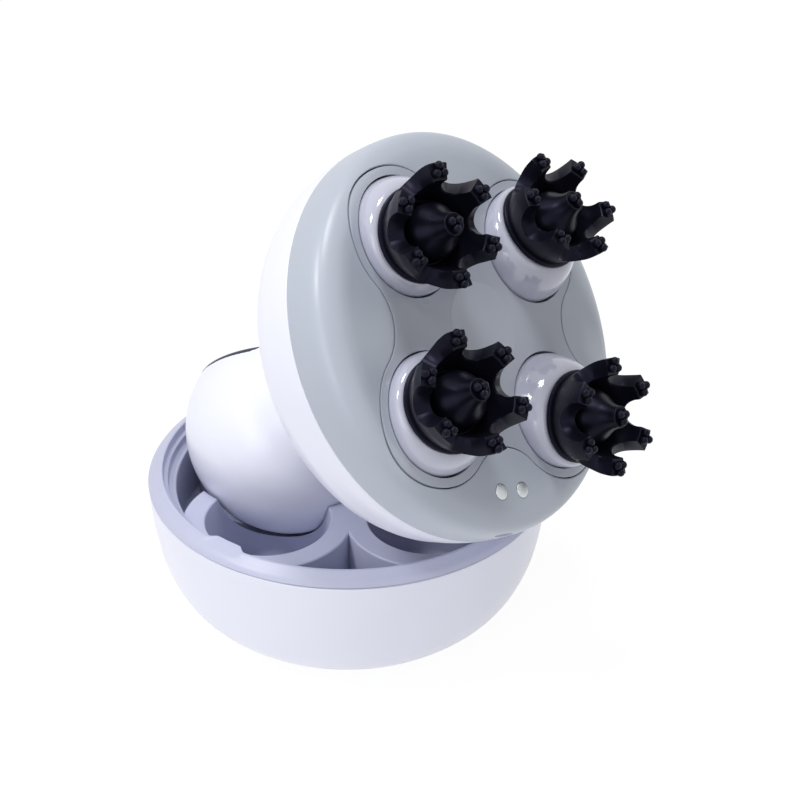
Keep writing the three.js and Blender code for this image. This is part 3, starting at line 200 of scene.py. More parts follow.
def rings(name: str, columns: Sequence[Sequence[Vector]], place: Matrix,
          closed: bool = False) -> bpy.types.Object:
    """Skin columns of points that stand side by side round an axis.

    Args:
        name: the object's name.
        columns: equal-length columns, in order round the axis; the last meets the first.
        place: where the mesh goes, in millimetres.
        closed: whether each column's last point joins its first, as in a ring with a hole.

    Returns:
        The skinned object.
    """
    bm = bmesh.new()
    grid = [[bm.verts.new(point) for point in column] for column in columns]
    rows = len(columns[0])
    for i, column in enumerate(grid):
        after = grid[(i + 1) % len(grid)]
        for j in range(rows if closed else rows - 1):
            k = (j + 1) % rows
            bm.faces.new((column[j], after[j], after[k], column[k]))
    return finished(name, bm, place)


def around(steps: int) -> list[float]:
    """Return directions in radians, evenly spaced round a circle."""
    return [2 * math.pi * i / steps for i in range(steps)]


def swept(name: str, angles: Sequence[float], section: Callable[[float], Sequence[Point]], place: Matrix,
          closed: bool = False) -> bpy.types.Object:
    """Turn a section that may change on the way about Z.

    Args:
        name: the object's name.
        angles: directions in radians, in order round the axis.
        section: returns the points of radius and height in a direction, equally many in each.
        place: where the mesh goes, in millimetres.
        closed: whether each section's last point joins its first.

    Returns:
        The skinned object.
    """
    columns = [[Vector((r * math.cos(a), r * math.sin(a), z)) for r, z in section(a)] for a in angles]
    return rings(name, columns, place, closed)


def lathe(name: str, profile: Sequence[Point], place: Matrix, steps: int = FINE,
          closed: bool = False) -> bpy.types.Object:
    """Turn a profile of radius and height about Z."""
    return swept(name, around(steps), lambda _: profile, place, closed)


def rounded_block(name: str, size: tuple[float, float, float], radius: float,
                  place: Matrix) -> bpy.types.Object:
    """Make a box with rounded edges, centred on its place."""
    bm = bmesh.new()
    bmesh.ops.create_cube(bm, size=1.0)
    bmesh.ops.scale(bm, vec=size, verts=bm.verts)
    bmesh.ops.bevel(bm, geom=bm.edges[:], offset=radius, segments=BEVEL_STEPS, profile=0.5, affect="EDGES")
    return finished(name, bm, place)


def plain(piece: bpy.types.Object) -> bpy.types.Object:
    """Write a piece's modifiers into its mesh.

    Args:
        piece: an object with modifiers.

    Returns:
        A new object of the same name, with a plain mesh.
    """
    bpy.context.view_layer.update()
    evaluated = piece.evaluated_get(bpy.context.evaluated_depsgraph_get())
    mesh = bpy.data.meshes.new_from_object(evaluated)
    name = piece.name
    bpy.data.objects.remove(piece)
    mesh.name = name
    return shown(name, mesh)


def carved(piece: bpy.types.Object, cutters: Sequence[bpy.types.Object],
           operation: str = "DIFFERENCE") -> bpy.types.Object:
    """Cut cutters from a piece, or join them to it.

    Args:
        piece: the piece to change.
        cutters: objects that are used up.
        operation: DIFFERENCE to cut or UNION to join.

    Returns:
        The changed piece as a plain mesh.
    """
    for i, cutter in enumerate(cutters):
        step = piece.modifiers.new(f"step_{i}", "BOOLEAN")
        step.operation = operation
        step.solver = "EXACT"
        step.object = cutter
    result = plain(piece)
    for cutter in cutters:
        bpy.data.objects.remove(cutter)
    return result


# Finishes

def linear(colour: str) -> tuple[float, float, float, float]:
    """Turn an sRGB hex colour into linear light.

    Args:
        colour: six hex digits after a hash sign.

    Returns:
        Red, green, blue and an alpha of 1.
    """
    parts = [int(colour[i:i + 2], 16) / 255 for i in (1, 3, 5)]
    return (*[c / 12.92 if c <= 0.04045 else ((c + 0.055) / 1.055) ** 2.4 for c in parts], 1.0)


def add(tree: bpy.types.NodeTree, kind: str, settings: dict | None = None,
        links: dict | None = None) -> bpy.types.Node:
    """Add a node with its settings and links.

    Args:
        tree: the node tree.
        kind: the node's type name.
        settings: values by attribute name, or by input name.
        links: for each input, the output socket that feeds it.

    Returns:
        The new node.
    """
    node = tree.nodes.new(kind)
    for key, value in (settings or {}).items():
        if isinstance(key, str) and hasattr(node, key):
            setattr(node, key, value)
        else:
            node.inputs[key].default_value = value
    for key, socket in (links or {}).items():
        tree.links.new(socket, node.inputs[key])
    return node


@dataclass(frozen=True)
class Finish:
    """A moulded, cast or plated surface, with faint mottling, an uneven gloss and a fine grain."""

    name: str
    colour: str
    second: str
    roughness: float
    # The gloss map's reach on either side of the roughness.
    spread: float = 0.05
    ior: float = 1.5
    metallic: float = 0.0
    mottle_mm: float = 18.0
    gloss_mm: float = 9.0
    grain_mm: float = 0.5
    grain_depth_mm: float = 0.006
    stretch: tuple[float, float, float] = (1.0, 1.0, 1.0)
    coat: float = 0.0
    coat_roughness: float = 0.05
    subsurface: float = 0.0
    specular: float = 0.5
    specular_tint: str = "#ffffff"

    def make(self) -> bpy.types.Material:
        """Build the material's nodes.

        Returns:
            The material.
        """
        material = bpy.data.materials.new(self.name)
        material.use_nodes = True
        material.diffuse_color = linear(self.colour)
        tree = material.node_tree
        tree.nodes.clear()
        place = add(tree, "ShaderNodeTexCoord").outputs["Object"]
        stretched = add(tree, "ShaderNodeMapping", {"Scale": self.stretch}, {"Vector": place})
        cloud = add(tree, "ShaderNodeTexNoise", {"Scale": 1 / (self.mottle_mm * MM), "Detail": MOTTLE_DETAIL},
                    {"Vector": place})
        tint = add(tree, "ShaderNodeMix", {"data_type": "RGBA"}, {"Factor": cloud.outputs["Fac"]})
        tint.inputs[MIX_A].default_value = linear(self.colour)
        tint.inputs[MIX_B].default_value = linear(self.second)
        patch = add(tree, "ShaderNodeTexNoise", {"Scale": 1 / (self.gloss_mm * MM), "Detail": GLOSS_DETAIL},
                    {"Vector": place})
        gloss = add(tree, "ShaderNodeMapRange",
                    {"To Min": max(self.roughness - self.spread, LEAST_ROUGHNESS),
                     "To Max": self.roughness + self.spread}, {"Value": patch.outputs["Fac"]})
        grain = add(tree, "ShaderNodeTexNoise", {"Scale": 1 / (self.grain_mm * MM), "Detail": GRAIN_DETAIL},
                    {"Vector": stretched.outputs["Vector"]})
        bump = add(tree, "ShaderNodeBump", {"Strength": 1.0, "Distance": self.grain_depth_mm * MM},
                   {"Height": grain.outputs["Fac"]})
        shader = add(tree, "ShaderNodeBsdfPrincipled",
                     {"Metallic": self.metallic, "IOR": self.ior, "Coat Weight": self.coat,
                      "Coat Roughness": self.coat_roughness, "Subsurface Weight": self.subsurface,
                      "Specular IOR Level": self.specular, "Specular Tint": linear(self.specular_tint)},
                     {"Base Color": tint.outputs[MIX_RESULT], "Roughness": gloss.outputs["Result"],
                      "Normal": bump.outputs["Normal"]})
        add(tree, "ShaderNodeOutputMaterial", None, {"Surface": shader.outputs["BSDF"]})
        return material


# Moulded ABS straight from a polished tool: even, faintly blue white with a soft clear gloss.
WHITE_ABS = Finish("abs_moulded_white", "#eef0fd", "#ebedfb", 0.3, 0.02, 1.53, coat=0.1, coat_roughness=0.2,
                   grain_depth_mm=0.002)
# The same plastic in cool grey from a finely etched tool: broad, blurred highlights.
GREY_ABS = Finish("abs_moulded_cool_grey", "#b6bdc9", "#b2b9c6", 0.36, 0.03, 1.53, grain_depth_mm=0.004)
GREY_PANEL = Finish("abs_moulded_panel_grey", "#aeb4c0", "#aab0bd", 0.28, 0.02, 1.53, grain_depth_mm=0.003)
# Lilac-grey liner, satin: its walls read darker because they stand in shade.
LILAC_ABS = Finish("abs_moulded_lilac_grey", "#c0c3da", "#bbbed6", 0.38, 0.03, 1.53, grain_depth_mm=0.004)
# Polished pods: clear, sharp window-like highlights.
GLOSS_ABS = Finish("abs_polished_lilac", "#bbbdce", "#b8bacc", 0.12, 0.02, 1.53, coat=0.6,
                   coat_roughness=0.04, grain_depth_mm=0.001)
# Liquid silicone rubber: near black, with a broad, weak, bluish sheen, because its bloom spreads the
# highlight.
SILICONE = Finish("silicone_moulded_black", "#0a0a12", "#0e0e18", 0.36, 0.03, 1.41, mottle_mm=5.0,
                  gloss_mm=3.0, grain_mm=0.25, grain_depth_mm=0.002, specular=0.28, specular_tint="#b4b4e6")
# Nitrile rubber: matt and dusty.
NITRILE = Finish("nitrile_rubber_black", "#26282c", "#2f3136", 0.72, 0.08, 1.52, mottle_mm=6.0,
                 grain_depth_mm=0.02)
# Bright nickel-chrome plating on a smooth base.
CHROME = Finish("chrome_plated", "#dfe2e8", "#d9dce3", 0.07, 0.02, metallic=1.0, grain_depth_mm=0.0005)
# Chrome on the handle's ring: mirror-like, its colour darkened as a painted dark reflection, so it reads as a
# near-black line against the white.
CHROME_PAINTED_DARK_REFLECTION = Finish("chrome_painted_dark_reflection", "#4a4c5a", "#505261", 0.1, 0.02, metallic=1.0,
                      grain_depth_mm=0.0005)
# Satin nickel on the charging contacts: it blurs what it mirrors to a pale grey.
SATIN_NICKEL = Finish("nickel_plated_satin", "#d2d6d8", "#cacfd2", 0.34, 0.04, metallic=1.0,
                      grain_depth_mm=0.001)
# Turned steel: fine lines round the piece, drawn as coarse as they need to show.
STEEL = Finish("steel_turned", "#a9adb2", "#989ca3", 0.32, 0.08, metallic=1.0, grain_mm=0.4,
               grain_depth_mm=0.006, stretch=(1.0, 1.0, 9.0))
# Sintered bronze: open-grained and oily.
BRONZE = Finish("bronze_sintered", "#a97f4c", "#8d6a3f", 0.42, 0.1, metallic=1.0, grain_mm=0.3,
                grain_depth_mm=0.02)
# Natural acetal: milky, with a low wax-like gloss.
ACETAL = Finish("acetal_natural", "#e8e5da", "#e2dfd3", 0.4, 0.05, 1.48, subsurface=0.05)
# Solder-masked glass-epoxy board: the weave shows faintly under the green coat.
BOARD = Finish("circuit_board_green", "#1d5f3a", "#24704a", 0.35, 0.06, 1.55, grain_mm=0.8,
               grain_depth_mm=0.015)
# Heat-shrunk polyester film: taut and glossy.
CELL_FILM = Finish("shrink_film_blue", "#2f5a9c", "#35639f", 0.25, 0.05, 1.57, grain_depth_mm=0.01)
# Glass-filled nylon: black and slightly fibrous.
NYLON = Finish("nylon_glass_filled_black", "#202226", "#2a2c31", 0.55, 0.08, 1.53, grain_mm=0.6,
               grain_depth_mm=0.02)


def numbered(stem: str, count: int) -> tuple[str, ...]:
    """Return the names of parts that differ in their number only."""
    return tuple(f"{stem}_{i}" for i in range(1, count + 1))


CAD_FINISHES: dict[Finish, tuple[str, ...]] = {
    GREY_ABS: ("dock_base_plate",),
    NITRILE: ("anti_slip_pad", "perimeter_seal", "button_seal", *numbered("pod_seal", 4)),
    CHROME: numbered("charge_pin", 2),
    STEEL: ("power_socket", "motor_gearhead", "drive_motor", "drive_shaft", *numbered("motor_screw", 2),
            *numbered("dock_screw", 3), *numbered("housing_screw", 4)),
    BRONZE: numbered("shaft_bush", 4),
    ACETAL: (*numbered("gear_spindle", 4), "drive_gear", "switch_plunger"),
    BOARD: ("dock_circuit_board", "control_board"),
    CELL_FILM: ("battery_cell",),
    NYLON: ("frame_plate", "gear_plate", "battery_cradle", "tact_switch"),
}


class Workshop:
    """Makes each material once, dresses pieces and ties them to the frame."""

    def __init__(self) -> None:
        """Start with no materials."""
        self.made: dict[str, bpy.types.Material] = {}

    def material(self, finish: Finish) -> bpy.types.Material:
        """Return a finish's material, made at its first use."""
        if finish.name not in self.made:
            self.made[finish.name] = finish.make()
        return self.made[finish.name]

    def dress(self, piece: bpy.types.Object, finish: Finish) -> None:
        """Give a piece one finish all over."""
        piece.data.materials.clear()
        piece.data.materials.append(self.material(finish))

    def fit(self, piece: bpy.types.Object, finish: Finish, body: str, slot: str, *nodes: str) -> None:
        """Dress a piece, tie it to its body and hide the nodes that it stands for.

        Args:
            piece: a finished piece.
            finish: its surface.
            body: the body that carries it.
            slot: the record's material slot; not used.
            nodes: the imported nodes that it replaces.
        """
        self.dress(piece, finish)
        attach(piece, body)
        if nodes:
            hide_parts(*nodes)
        log.info("%s: %d faces on %s", piece.name, len(piece.data.polygons), body)

    def dress_nodes(self) -> None:
        """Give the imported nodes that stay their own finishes."""
        for finish, names in CAD_FINISHES.items():
            for name in names:
                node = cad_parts[name]
                for slot in node.material_slots:
                    slot.link = "OBJECT"
                    slot.material = self.material(finish)
                log.info("%s: %s", name, finish.name)


# Dock

@dataclass
class Dock:
    """The charging dock: a white bowl with a grey liner whose rim stands a little proud.

    Outlines are pairs of radius and height in millimetres. Fields whose names end in steps count chords.
    """

    foot_radius: float = 36.0
    shell_lift: float = 0.8
    shell_outline: tuple[Point, ...] = ((40.8, 2.1), (46.6, 6), (52.4, 12.6), (56.3, 22), (58.2, 33))
    shell_steps: int = 60
    shell_lip: float = 0.4
    shell_lip_inset: float = 0.45
    wall: float = WALL
    opening_radius: float = 31.0
    inlet_size: tuple[float, float, float] = (9.8, 30.0, 4.1)
    inlet_round: float = 1.2
    inlet_turn: float = -20.0
    inlet_reach: float = 1.05
    rim_radius: float = 59.0
    rim_height: float = 44.0
    rim_crown: float = 3.5
    rim_width: float = 4.4
    rim_round: float = 0.45
    rim_round_drop: float = 0.55
    rim_top: Point = (1.0, 0.16)
    rim_middle: Point = (2.2, 1.15)
    rim_low: Point = (0.8, 1.35)
    rim_foot: float = 0.25
    rim_steps: int = 10
    rim_undercut: float = 0.15
    ledge_drop: float = 2.5
    ledge_width: float = 1.1
    ledge_round: float = 0.4
    ledge_start: float = 0.6
    ledge_end: float = 0.7
    tray: float = 42.0
    tray_round: float = 0.8
    tray_steps: int = 8
    wells: int = 4
    well_circle: float = HEAD_CIRCLE
    well_radius: float = 17.8
    well_wall: float = 6.5
    well_draft: float = 2.0
    well_floor: float = 18.0
    well_turn: float = -133.0
    notch_radius: float = 51.0
    notch_floor: float = 24.0
    lip: float = 0.6
    # The lips stop short of level, so that no face of a cutter lies in the tray's plane.
    lip_sweep: float = 88.0
    wall_top_inset: float = 0.2
    wall_top_clearance: float = 0.05
    floor_round: float = 2.0
    floor_steps: int = 12
    open_top: float = 60.0
    knob_seat: float = 31.5
    knob_seat_steps: int = 60
    liner_bottom: float = 15.5
    liner_chamfer: float = 0.6
    liner_top_drop: float = 1.0
    liner_steps: int = 24
    tab_turn: float = -126.0
    tab_half_angle: float = 5.5
    tab_ease: float = 1.5
    tab_depth: float = 2.0
    pin_turn: float = 92.0
    pin_circle: float = CONTACT_CIRCLE
    pin_spacing: float = CONTACT_SPACING
    pin_bore: float = 1.5
    pin_bore_low: float = 10.0
    tower_size: tuple[float, float] = (6.0, 15.0)
    tower_top: float = 40.0
    tower_root: float = 4.0

    def outside(self, steps: int) -> list[Point]:
        """Return the shell's outer profile, from the foot to the rim."""
        return spline([(self.foot_radius, self.shell_lift), *self.shell_outline,
                       (self.rim_radius, self.rim_height)], steps)

    def build_shell(self, shop: Workshop) -> None:
        """Build the white bowl with its opening for the inlet.

        Args:
            shop: dresses the piece.
        """
        top = self.rim_height - GAP
        lip_low = top - self.shell_lip
        floor = self.shell_lift + self.wall
        outer = [(r, z) for r, z in self.outside(self.shell_steps) if z < lip_low]
        lip = corner((self.rim_radius - self.shell_lip_inset, lip_low), self.shell_lip, 0, 90)
        inner = [(r - self.wall, z) for r, z in reversed(outer) if z > floor]
        profile = [(self.opening_radius, self.shell_lift), *outer, *lip, (self.rim_radius - self.wall, top),
                   *inner, (self.opening_radius, floor)]
        shell = lathe("dock_shell", profile, DOCK, closed=True)
        low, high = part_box("power_socket")
        centre = (low + high) / 2 / MM
        place = Matrix.Translation((centre.x * self.inlet_reach, centre.y * self.inlet_reach, centre.z))
        hole = rounded_block("inlet_hole", self.inlet_size, self.inlet_round,
                             place @ turned(self.inlet_turn, Turn.Z))
        shop.fit(carved(shell, [hole]), WHITE_ABS, "dock", "white_shell", "dock_outer_shell")

    def well_places(self) -> list[Matrix]:
        """Return the places of the four wells."""
        offset = Matrix.Translation((self.well_circle, 0, 0))
        return [turned(self.well_turn + 360 * i / self.wells, Turn.Z) @ offset for i in range(self.wells)]

    def hollow(self, name: str, radius: float, floor: float, draft: float, place: Matrix) -> bpy.types.Object:
        """Make the cutter of a round hollow in the tray, with a rounded floor and a rounded lip.

        Args:
            name: the cutter's name.
            radius: the hollow's radius at the tray.
            floor: the height of its floor.
            draft: how much narrower the hollow is at its floor.
            place: where it goes, in millimetres.

        Returns:
            The cutter.
        """
        bend = (radius - draft - self.floor_round, floor + self.floor_round)
        profile = [(0, floor), *corner(bend, self.floor_round, -90, 0, self.floor_steps)]
        profile += corner((radius + self.lip, self.tray - self.lip), self.lip, 180, 180 - self.lip_sweep)
        profile += [(radius + self.lip, self.open_top), (0, self.open_top)]
        return lathe(name, profile, place)

    def notches(self) -> bpy.types.Object:
        """Make the cutter of the notches: a round hollow less the walls that stand round the wells.

        Returns:
            The cutter.
        """
        outside = self.well_radius + self.well_wall
        clear = self.tray + self.wall_top_clearance
        profile = [(0, self.liner_bottom), (outside, self.liner_bottom),
                   *corner((outside - self.lip, self.tray - self.lip), self.lip, 0, self.lip_sweep),
                   (outside - self.lip - self.wall_top_inset, clear), (0, clear)]
        walls = [lathe(f"well_wall_{i}", profile, place) for i, place in enumerate(self.well_places())]
        return carved(self.hollow("notch_cutter", self.notch_radius, self.notch_floor, 0.0, DOCK), walls)

    def bowl_section(self, angle: float) -> list[Point]:
        """Return the liner's outline in one direction, before its wells are cut.

        Args:
            angle: direction in radians.

        Returns:
            The points from the tray's middle over the rim to the underside's middle.
        """
        top = self.rim_height + self.rim_crown
        ledge = top - self.ledge_drop
        off = (math.degrees(angle) - self.tab_turn + 180) % 360 - 180
        tab = self.tab_depth * smoothstep(self.tab_half_angle + self.tab_ease,
                                          self.tab_half_angle - self.tab_ease, abs(off))
        inner = self.rim_radius - self.rim_width - tab
        seat = inner - GAP - self.ledge_width + tab
        profile = [(0, self.tray), *corner((seat - self.tray_round, self.tray + self.tray_round),
                                           self.tray_round, -90, 0, self.tray_steps)]
        profile += corner((seat + self.ledge_round, ledge - self.ledge_round), self.ledge_round, 180, 90, 3)
        profile += [(seat + self.ledge_start, ledge), (max(inner - GAP, seat + self.ledge_end), ledge)]
        profile += corner((inner + self.rim_round, top - self.rim_round_drop), self.rim_round, 180, 90, 4)
        profile += spline([(inner + self.rim_top[0], top - self.rim_top[1]),
                           (self.rim_radius - self.rim_middle[0], top - self.rim_middle[1]),
                           (self.rim_radius - self.rim_low[0], self.rim_height + self.rim_low[1]),
                           (self.rim_radius, self.rim_height + self.rim_foot)], self.rim_steps)
        profile += [(self.rim_radius - self.rim_undercut, self.rim_height),
                    (self.rim_radius - self.wall - GAP, self.rim_height)]
        outside = [(r - self.wall - GAP, z) for r, z in reversed(self.outside(self.liner_steps))
                   if self.liner_bottom < z < self.rim_height - self.liner_top_drop]
        return [*profile, *outside, (outside[-1][0] - self.liner_chamfer, self.liner_bottom),
                (0, self.liner_bottom)]

    def build_liner(self, shop: Workshop) -> None:
        """Build the grey liner: rim, ledge and tray with its wells, notches, contact tower and knob seat.

        Args:
            shop: dresses the piece.
        """
        liner = swept("dock_liner_bowl", around(COLUMNS), self.bowl_section, DOCK)
        cutters = [self.hollow(f"well_cutter_{i}", self.well_radius, self.well_floor, self.well_draft, place)
                   for i, place in enumerate(self.well_places())]
        ball = lathe("knob_seat", corner((0, 0), self.knob_seat, -90, 90, self.knob_seat_steps),
                     Matrix.Translation((MASSAGER @ Vector(KNOB_CENTRE))))
        liner = carved(liner, [*cutters, self.notches(), ball])
        turn = turned(self.pin_turn, Turn.Z)
        deep, wide = self.tower_size
        low = self.notch_floor - self.tower_root
        tower = rounded_block("contact_tower", (deep, wide, self.tower_top - low), self.lip, turn
                              @ Matrix.Translation((self.pin_circle, 0, (self.tower_top + low) / 2)))
        bore = [(0, self.pin_bore_low), (self.pin_bore, self.pin_bore_low), (self.pin_bore, self.open_top),
                (0, self.open_top)]
        bores = [lathe(f"pin_bore_{side}", bore,
                       turn @ Matrix.Translation((self.pin_circle, side * self.pin_spacing / 2, 0)), COARSE)
                 for side in (-1, 1)]
        liner = carved(carved(liner, [tower], "UNION"), bores)
        liner.data.set_sharp_from_angle(angle=LINER_SHARP_ANGLE)
        shop.fit(liner, LILAC_ABS, "dock", "liner", "dock_liner")


# Disc

@dataclass
class Disc:
    """The round body of the massager: white back, grey face and a clover-shaped panel round the pods.

    Outlines are pairs of radius and height in millimetres. Fields whose names end in steps count chords.
    """

    radius: float = 55.0
    face_outline: tuple[Point, ...] = ((46.7, 0), (49.2, -0.35), (51.4, -1.2), (53.0, -2.2), (54.0, -3.4),
                                       (54.7, -5.6))
    face_side: float = -9.4
    face_steps: int = 36
    face_wall: float = 2.2
    face_gap: float = 0.24
    face_inside_step: float = 0.3
    face_inside_height: float = -7.4
    face_shelf: Point = (50.3, -4.6)
    face_shelf_gap: float = 0.6
    flat_limit: float = 46.0
    flat_steps: int = 8
    path_steps: int = 44
    path_gap: float = 0.2
    seam_round: float = 0.3
    seam_share: float = 0.3
    notch_size: tuple[float, float, float] = (3.4, 1.7, 1.3)
    notch_inset: float = 0.25
    notch_height: float = -5.4
    notch_steps: int = 16
    parting: float = 13.2
    back_outline: tuple[Point, ...] = ((54.7, -17.8), (53.9, -22.4), (53, -26.2), (50.7, -30.6),
                                       (46.3, -34.9), (40, -38.6), (33, -41.4))
    back_depth: float = 43.5
    back_steps: int = 56
    back_round: float = 0.3
    neck_radius: float = NECK_RADIUS
    collar_outer: float = 15.2
    collar_inner: float = 12.5
    collar_depth: float = 50.0
    wall: float = WALL
    # The back's inner side is set in everywhere, and raised as well where it levels off between these radii.
    wall_level: float = 30.0
    wall_upright: float = 60.0
    lobe_radius: float = 18.7
    waist: float = 32.3
    opening: float = 16.2
    opening_bevel: float = 0.14
    opening_reach: float = 9.0
    well_floor: tuple[float, float] = (-4.0, -2.7)
    well_floor_hole: float = 7.6
    well_floor_rim: float = 1.2
    panel: float = PANEL
    panel_lift: float = 0.02
    panel_margin: float = 0.3
    panel_round: float = 0.16
    panel_round_middle: float = 0.05
    panel_steps: int = 30
    seam: float = 0.1
    cap_radius: float = 12.0
    cap_gap: float = 0.02
    cap_outline: tuple[Point, ...] = ((0, -1.5), (4, -1.38), (7.6, -0.92), (10.2, -0.36), (11.4, -0.09))
    cap_steps: int = 28
    cap_depth: float = 2.2
    contact_circle: float = CONTACT_CIRCLE
    contact_spacing: float = CONTACT_SPACING
    contact_radius: float = 2.1
    contact_gap: float = 0.12
    contact_depth: float = 5.1
    contact_round: float = 0.22
    contact_shoulder: tuple[float, float] = (-0.1, -0.07)
    contact_crown: float = 0.2
    bore_reach: float = 20.0

    def face_profile(self) -> list[Point]:
        """Return the face's outer profile, from the flat to the parting line."""
        return spline([*self.face_outline, (self.radius, self.face_side), (self.radius, -self.parting)],
                      self.face_steps)

    def face_height(self, radius: float) -> float:
        """Return the face's height at a radius."""
        return 0.0 if radius < self.face_outline[0][0] else between(self.face_profile(), radius)

    def clover(self, angle: float) -> float:
        """Return the clover's radius in a direction.

        Each lobe is an arc round a head, and a hollow arc at the waist joins it to the next lobe.

        Args:
            angle: direction in radians.

        Returns:
            The distance from the middle to the outline.
        """
        offset = HEAD_OFFSET
        reach = self.waist - self.lobe_radius
        centre = (2 * offset ** 2 - reach ** 2) / (2 * (offset - reach))
        waist = centre - self.waist
        touch = math.atan2(offset, centre - offset)
        meet = math.atan2(offset - self.lobe_radius * math.sin(touch),
                          offset + self.lobe_radius * math.cos(touch))
        off = (angle + math.pi / 4) % (math.pi / 2) - math.pi / 4
        if abs(off) < meet:
            return centre * math.cos(off) - math.sqrt(max(waist ** 2 - (centre * math.sin(off)) ** 2, 0.0))
        phi = abs(off) - math.pi / 4
        return HEAD_CIRCLE * math.cos(phi) + math.sqrt(self.lobe_radius ** 2
                                                       - (HEAD_CIRCLE * math.sin(phi)) ** 2)

    def contact_places(self) -> list[Matrix]:
        """Return the places of the two charging contacts."""
        return [MASSAGER @ Matrix.Translation((side * self.contact_spacing / 2, -self.contact_circle, 0))
                for side in (-1, 1)]

    def face_section(self, angle: float) -> list[Point]:
        """Return the face's outline in one direction.

        Args:
            angle: direction in radians.

        Returns:
            The points of the closed outline, from the clover's hole outwards and back inside.
        """
        start = self.clover(angle) + self.face_gap
        flat = self.face_outline[0][0]
        soft = self.seam_round
        begin = start + soft
        tail = [(r, z) for r, z in self.face_profile() if r > begin + self.path_gap]
        if start < self.flat_limit:
            run = flat - start - soft
            path = [(begin + run * j / self.flat_steps, 0.0) for j in range(self.flat_steps + 1)]
        else:
            path = [(max(begin, flat), self.face_height(max(begin, flat)))]
        level = self.face_height(begin)
        lip = [(start, level - self.face_wall), (start, level - soft),
               (start + soft * self.seam_share, level - soft * self.seam_share)]
        side = self.radius - self.face_wall
        inner = [(side, -self.parting), (side - self.face_inside_step, self.face_inside_height),
                 (max(start + self.face_shelf_gap, self.face_shelf[0]), self.face_shelf[1])]
        return [*lip, *self.resampled([*path, *tail], self.path_steps), *inner]

    def build_face(self, shop: Workshop) -> None:
        """Build the grey face round the clover, with the contacts' bores and the edge notch.

        Args:
            shop: dresses the piece.
        """
        face = swept("face_ring", around(COLUMNS), self.face_section, MASSAGER, closed=True)
        bore = self.contact_radius + self.contact_gap
        cutters = [lathe(f"contact_bore_{i}", [(0, -self.bore_reach), (bore, -self.bore_reach),
                                               (bore, self.bore_reach), (0, self.bore_reach)], place, COARSE)
                   for i, place in enumerate(self.contact_places())]
        place = MASSAGER @ Matrix.Translation((0, -self.radius + self.notch_inset, self.notch_height))
        notch = lathe("notch_cutter", corner((0, 0), 1, -90, 90, self.notch_steps),
                      place @ Matrix.Diagonal((*self.notch_size, 1)), COARSE)
        shop.fit(carved(face, [*cutters, notch]), GREY_ABS, "massager", "grey_shell", "face_plate")

    def resampled(self, path: Sequence[Point], steps: int) -> list[Point]:
        """Space points evenly along a path.

        Args:
            path: the path's points.
            steps: how many equal lengths to cut it into.

        Returns:
            steps + 1 points.
        """
        lengths = [0.0]
        for (x0, y0), (x1, y1) in zip(path, path[1:]):
            lengths.append(lengths[-1] + math.hypot(x1 - x0, y1 - y0))
        even = []
        at = 0
        for i in range(steps + 1):
            goal = lengths[-1] * i / steps
            while at < len(path) - 2 and lengths[at + 1] < goal:
                at += 1
            span = lengths[at + 1] - lengths[at] or 1.0
            t = (goal - lengths[at]) / span
            even.append((path[at][0] + (path[at + 1][0] - path[at][0]) * t,
                         path[at][1] + (path[at + 1][1] - path[at][1]) * t))
        return even

    def panel_section(self, angle: float) -> list[Point]:
        """Return the panel's outline in one direction.

        Args:
            angle: direction in radians.

        Returns:
            The points of the closed outline, from the cap's hole outwards.
        """
        end = self.clover(angle) - self.seam
        run = end - self.panel_margin - self.cap_radius
        radii = [(self.cap_radius + run * j / self.panel_steps) for j in range(self.panel_steps + 1)]
        level = self.face_height(end)
        return [(self.cap_radius, -self.panel), (self.cap_radius, -self.panel_lift),
                *[(r + self.panel_lift, self.face_height(r)) for r in radii],
                (end - self.panel_round, level),
                (end - self.panel_round_middle, level - self.panel_round_middle),
                (end, level - self.panel_round), (end, -self.panel)]

    def build_panel(self, shop: Workshop) -> None:
        """Build the clover panel with its four wells and its chamfered edge.

        Args:
            shop: dresses the piece.
        """
        panel = swept("clover_plate", around(COLUMNS), self.panel_section, MASSAGER, closed=True)
        reach = self.opening_reach
        wide = self.opening + self.opening_bevel
        well = [(0, -reach), (self.opening, -reach), (self.opening, self.panel_lift - self.opening_bevel),
                (wide, self.panel_lift), (wide, reach), (0, reach)]
        wells = [lathe(f"well_{i}", well, place, MEDIUM) for i, place in enumerate(HEAD_PLACES)]
        shop.fit(carved(panel, wells), GREY_PANEL, "massager", "grey_panel", "clover_panel")

    def build_cap(self, shop: Workshop) -> None:
        """Build the sunk cap in the panel's middle.

        Args:
            shop: dresses the piece.
        """
        rim = self.cap_radius - self.cap_gap
        dimple = spline([*self.cap_outline, (rim, 0)], self.cap_steps)
        cap = lathe("dimple_cap", [*dimple, (rim, -self.cap_depth), (0, -self.cap_depth)], MASSAGER, MEDIUM)
        shop.fit(cap, GREY_PANEL, "massager", "grey_panel", "centre_cap")

    def build_well_floors(self, shop: Workshop) -> None:
        """Build the ring-shaped floor under each pod, which closes the gap round it.

        Args:
            shop: dresses the pieces.
        """
        low, high = self.well_floor
        wide = self.opening + self.well_floor_rim
        section = [(self.well_floor_hole, low), (wide, low), (wide, high), (self.well_floor_hole, high)]
        for i, place in enumerate(HEAD_PLACES, 1):
            floor = lathe(f"well_floor_{i}", section, place, MEDIUM, True)
            shop.fit(floor, NYLON, "massager", "grey_panel")

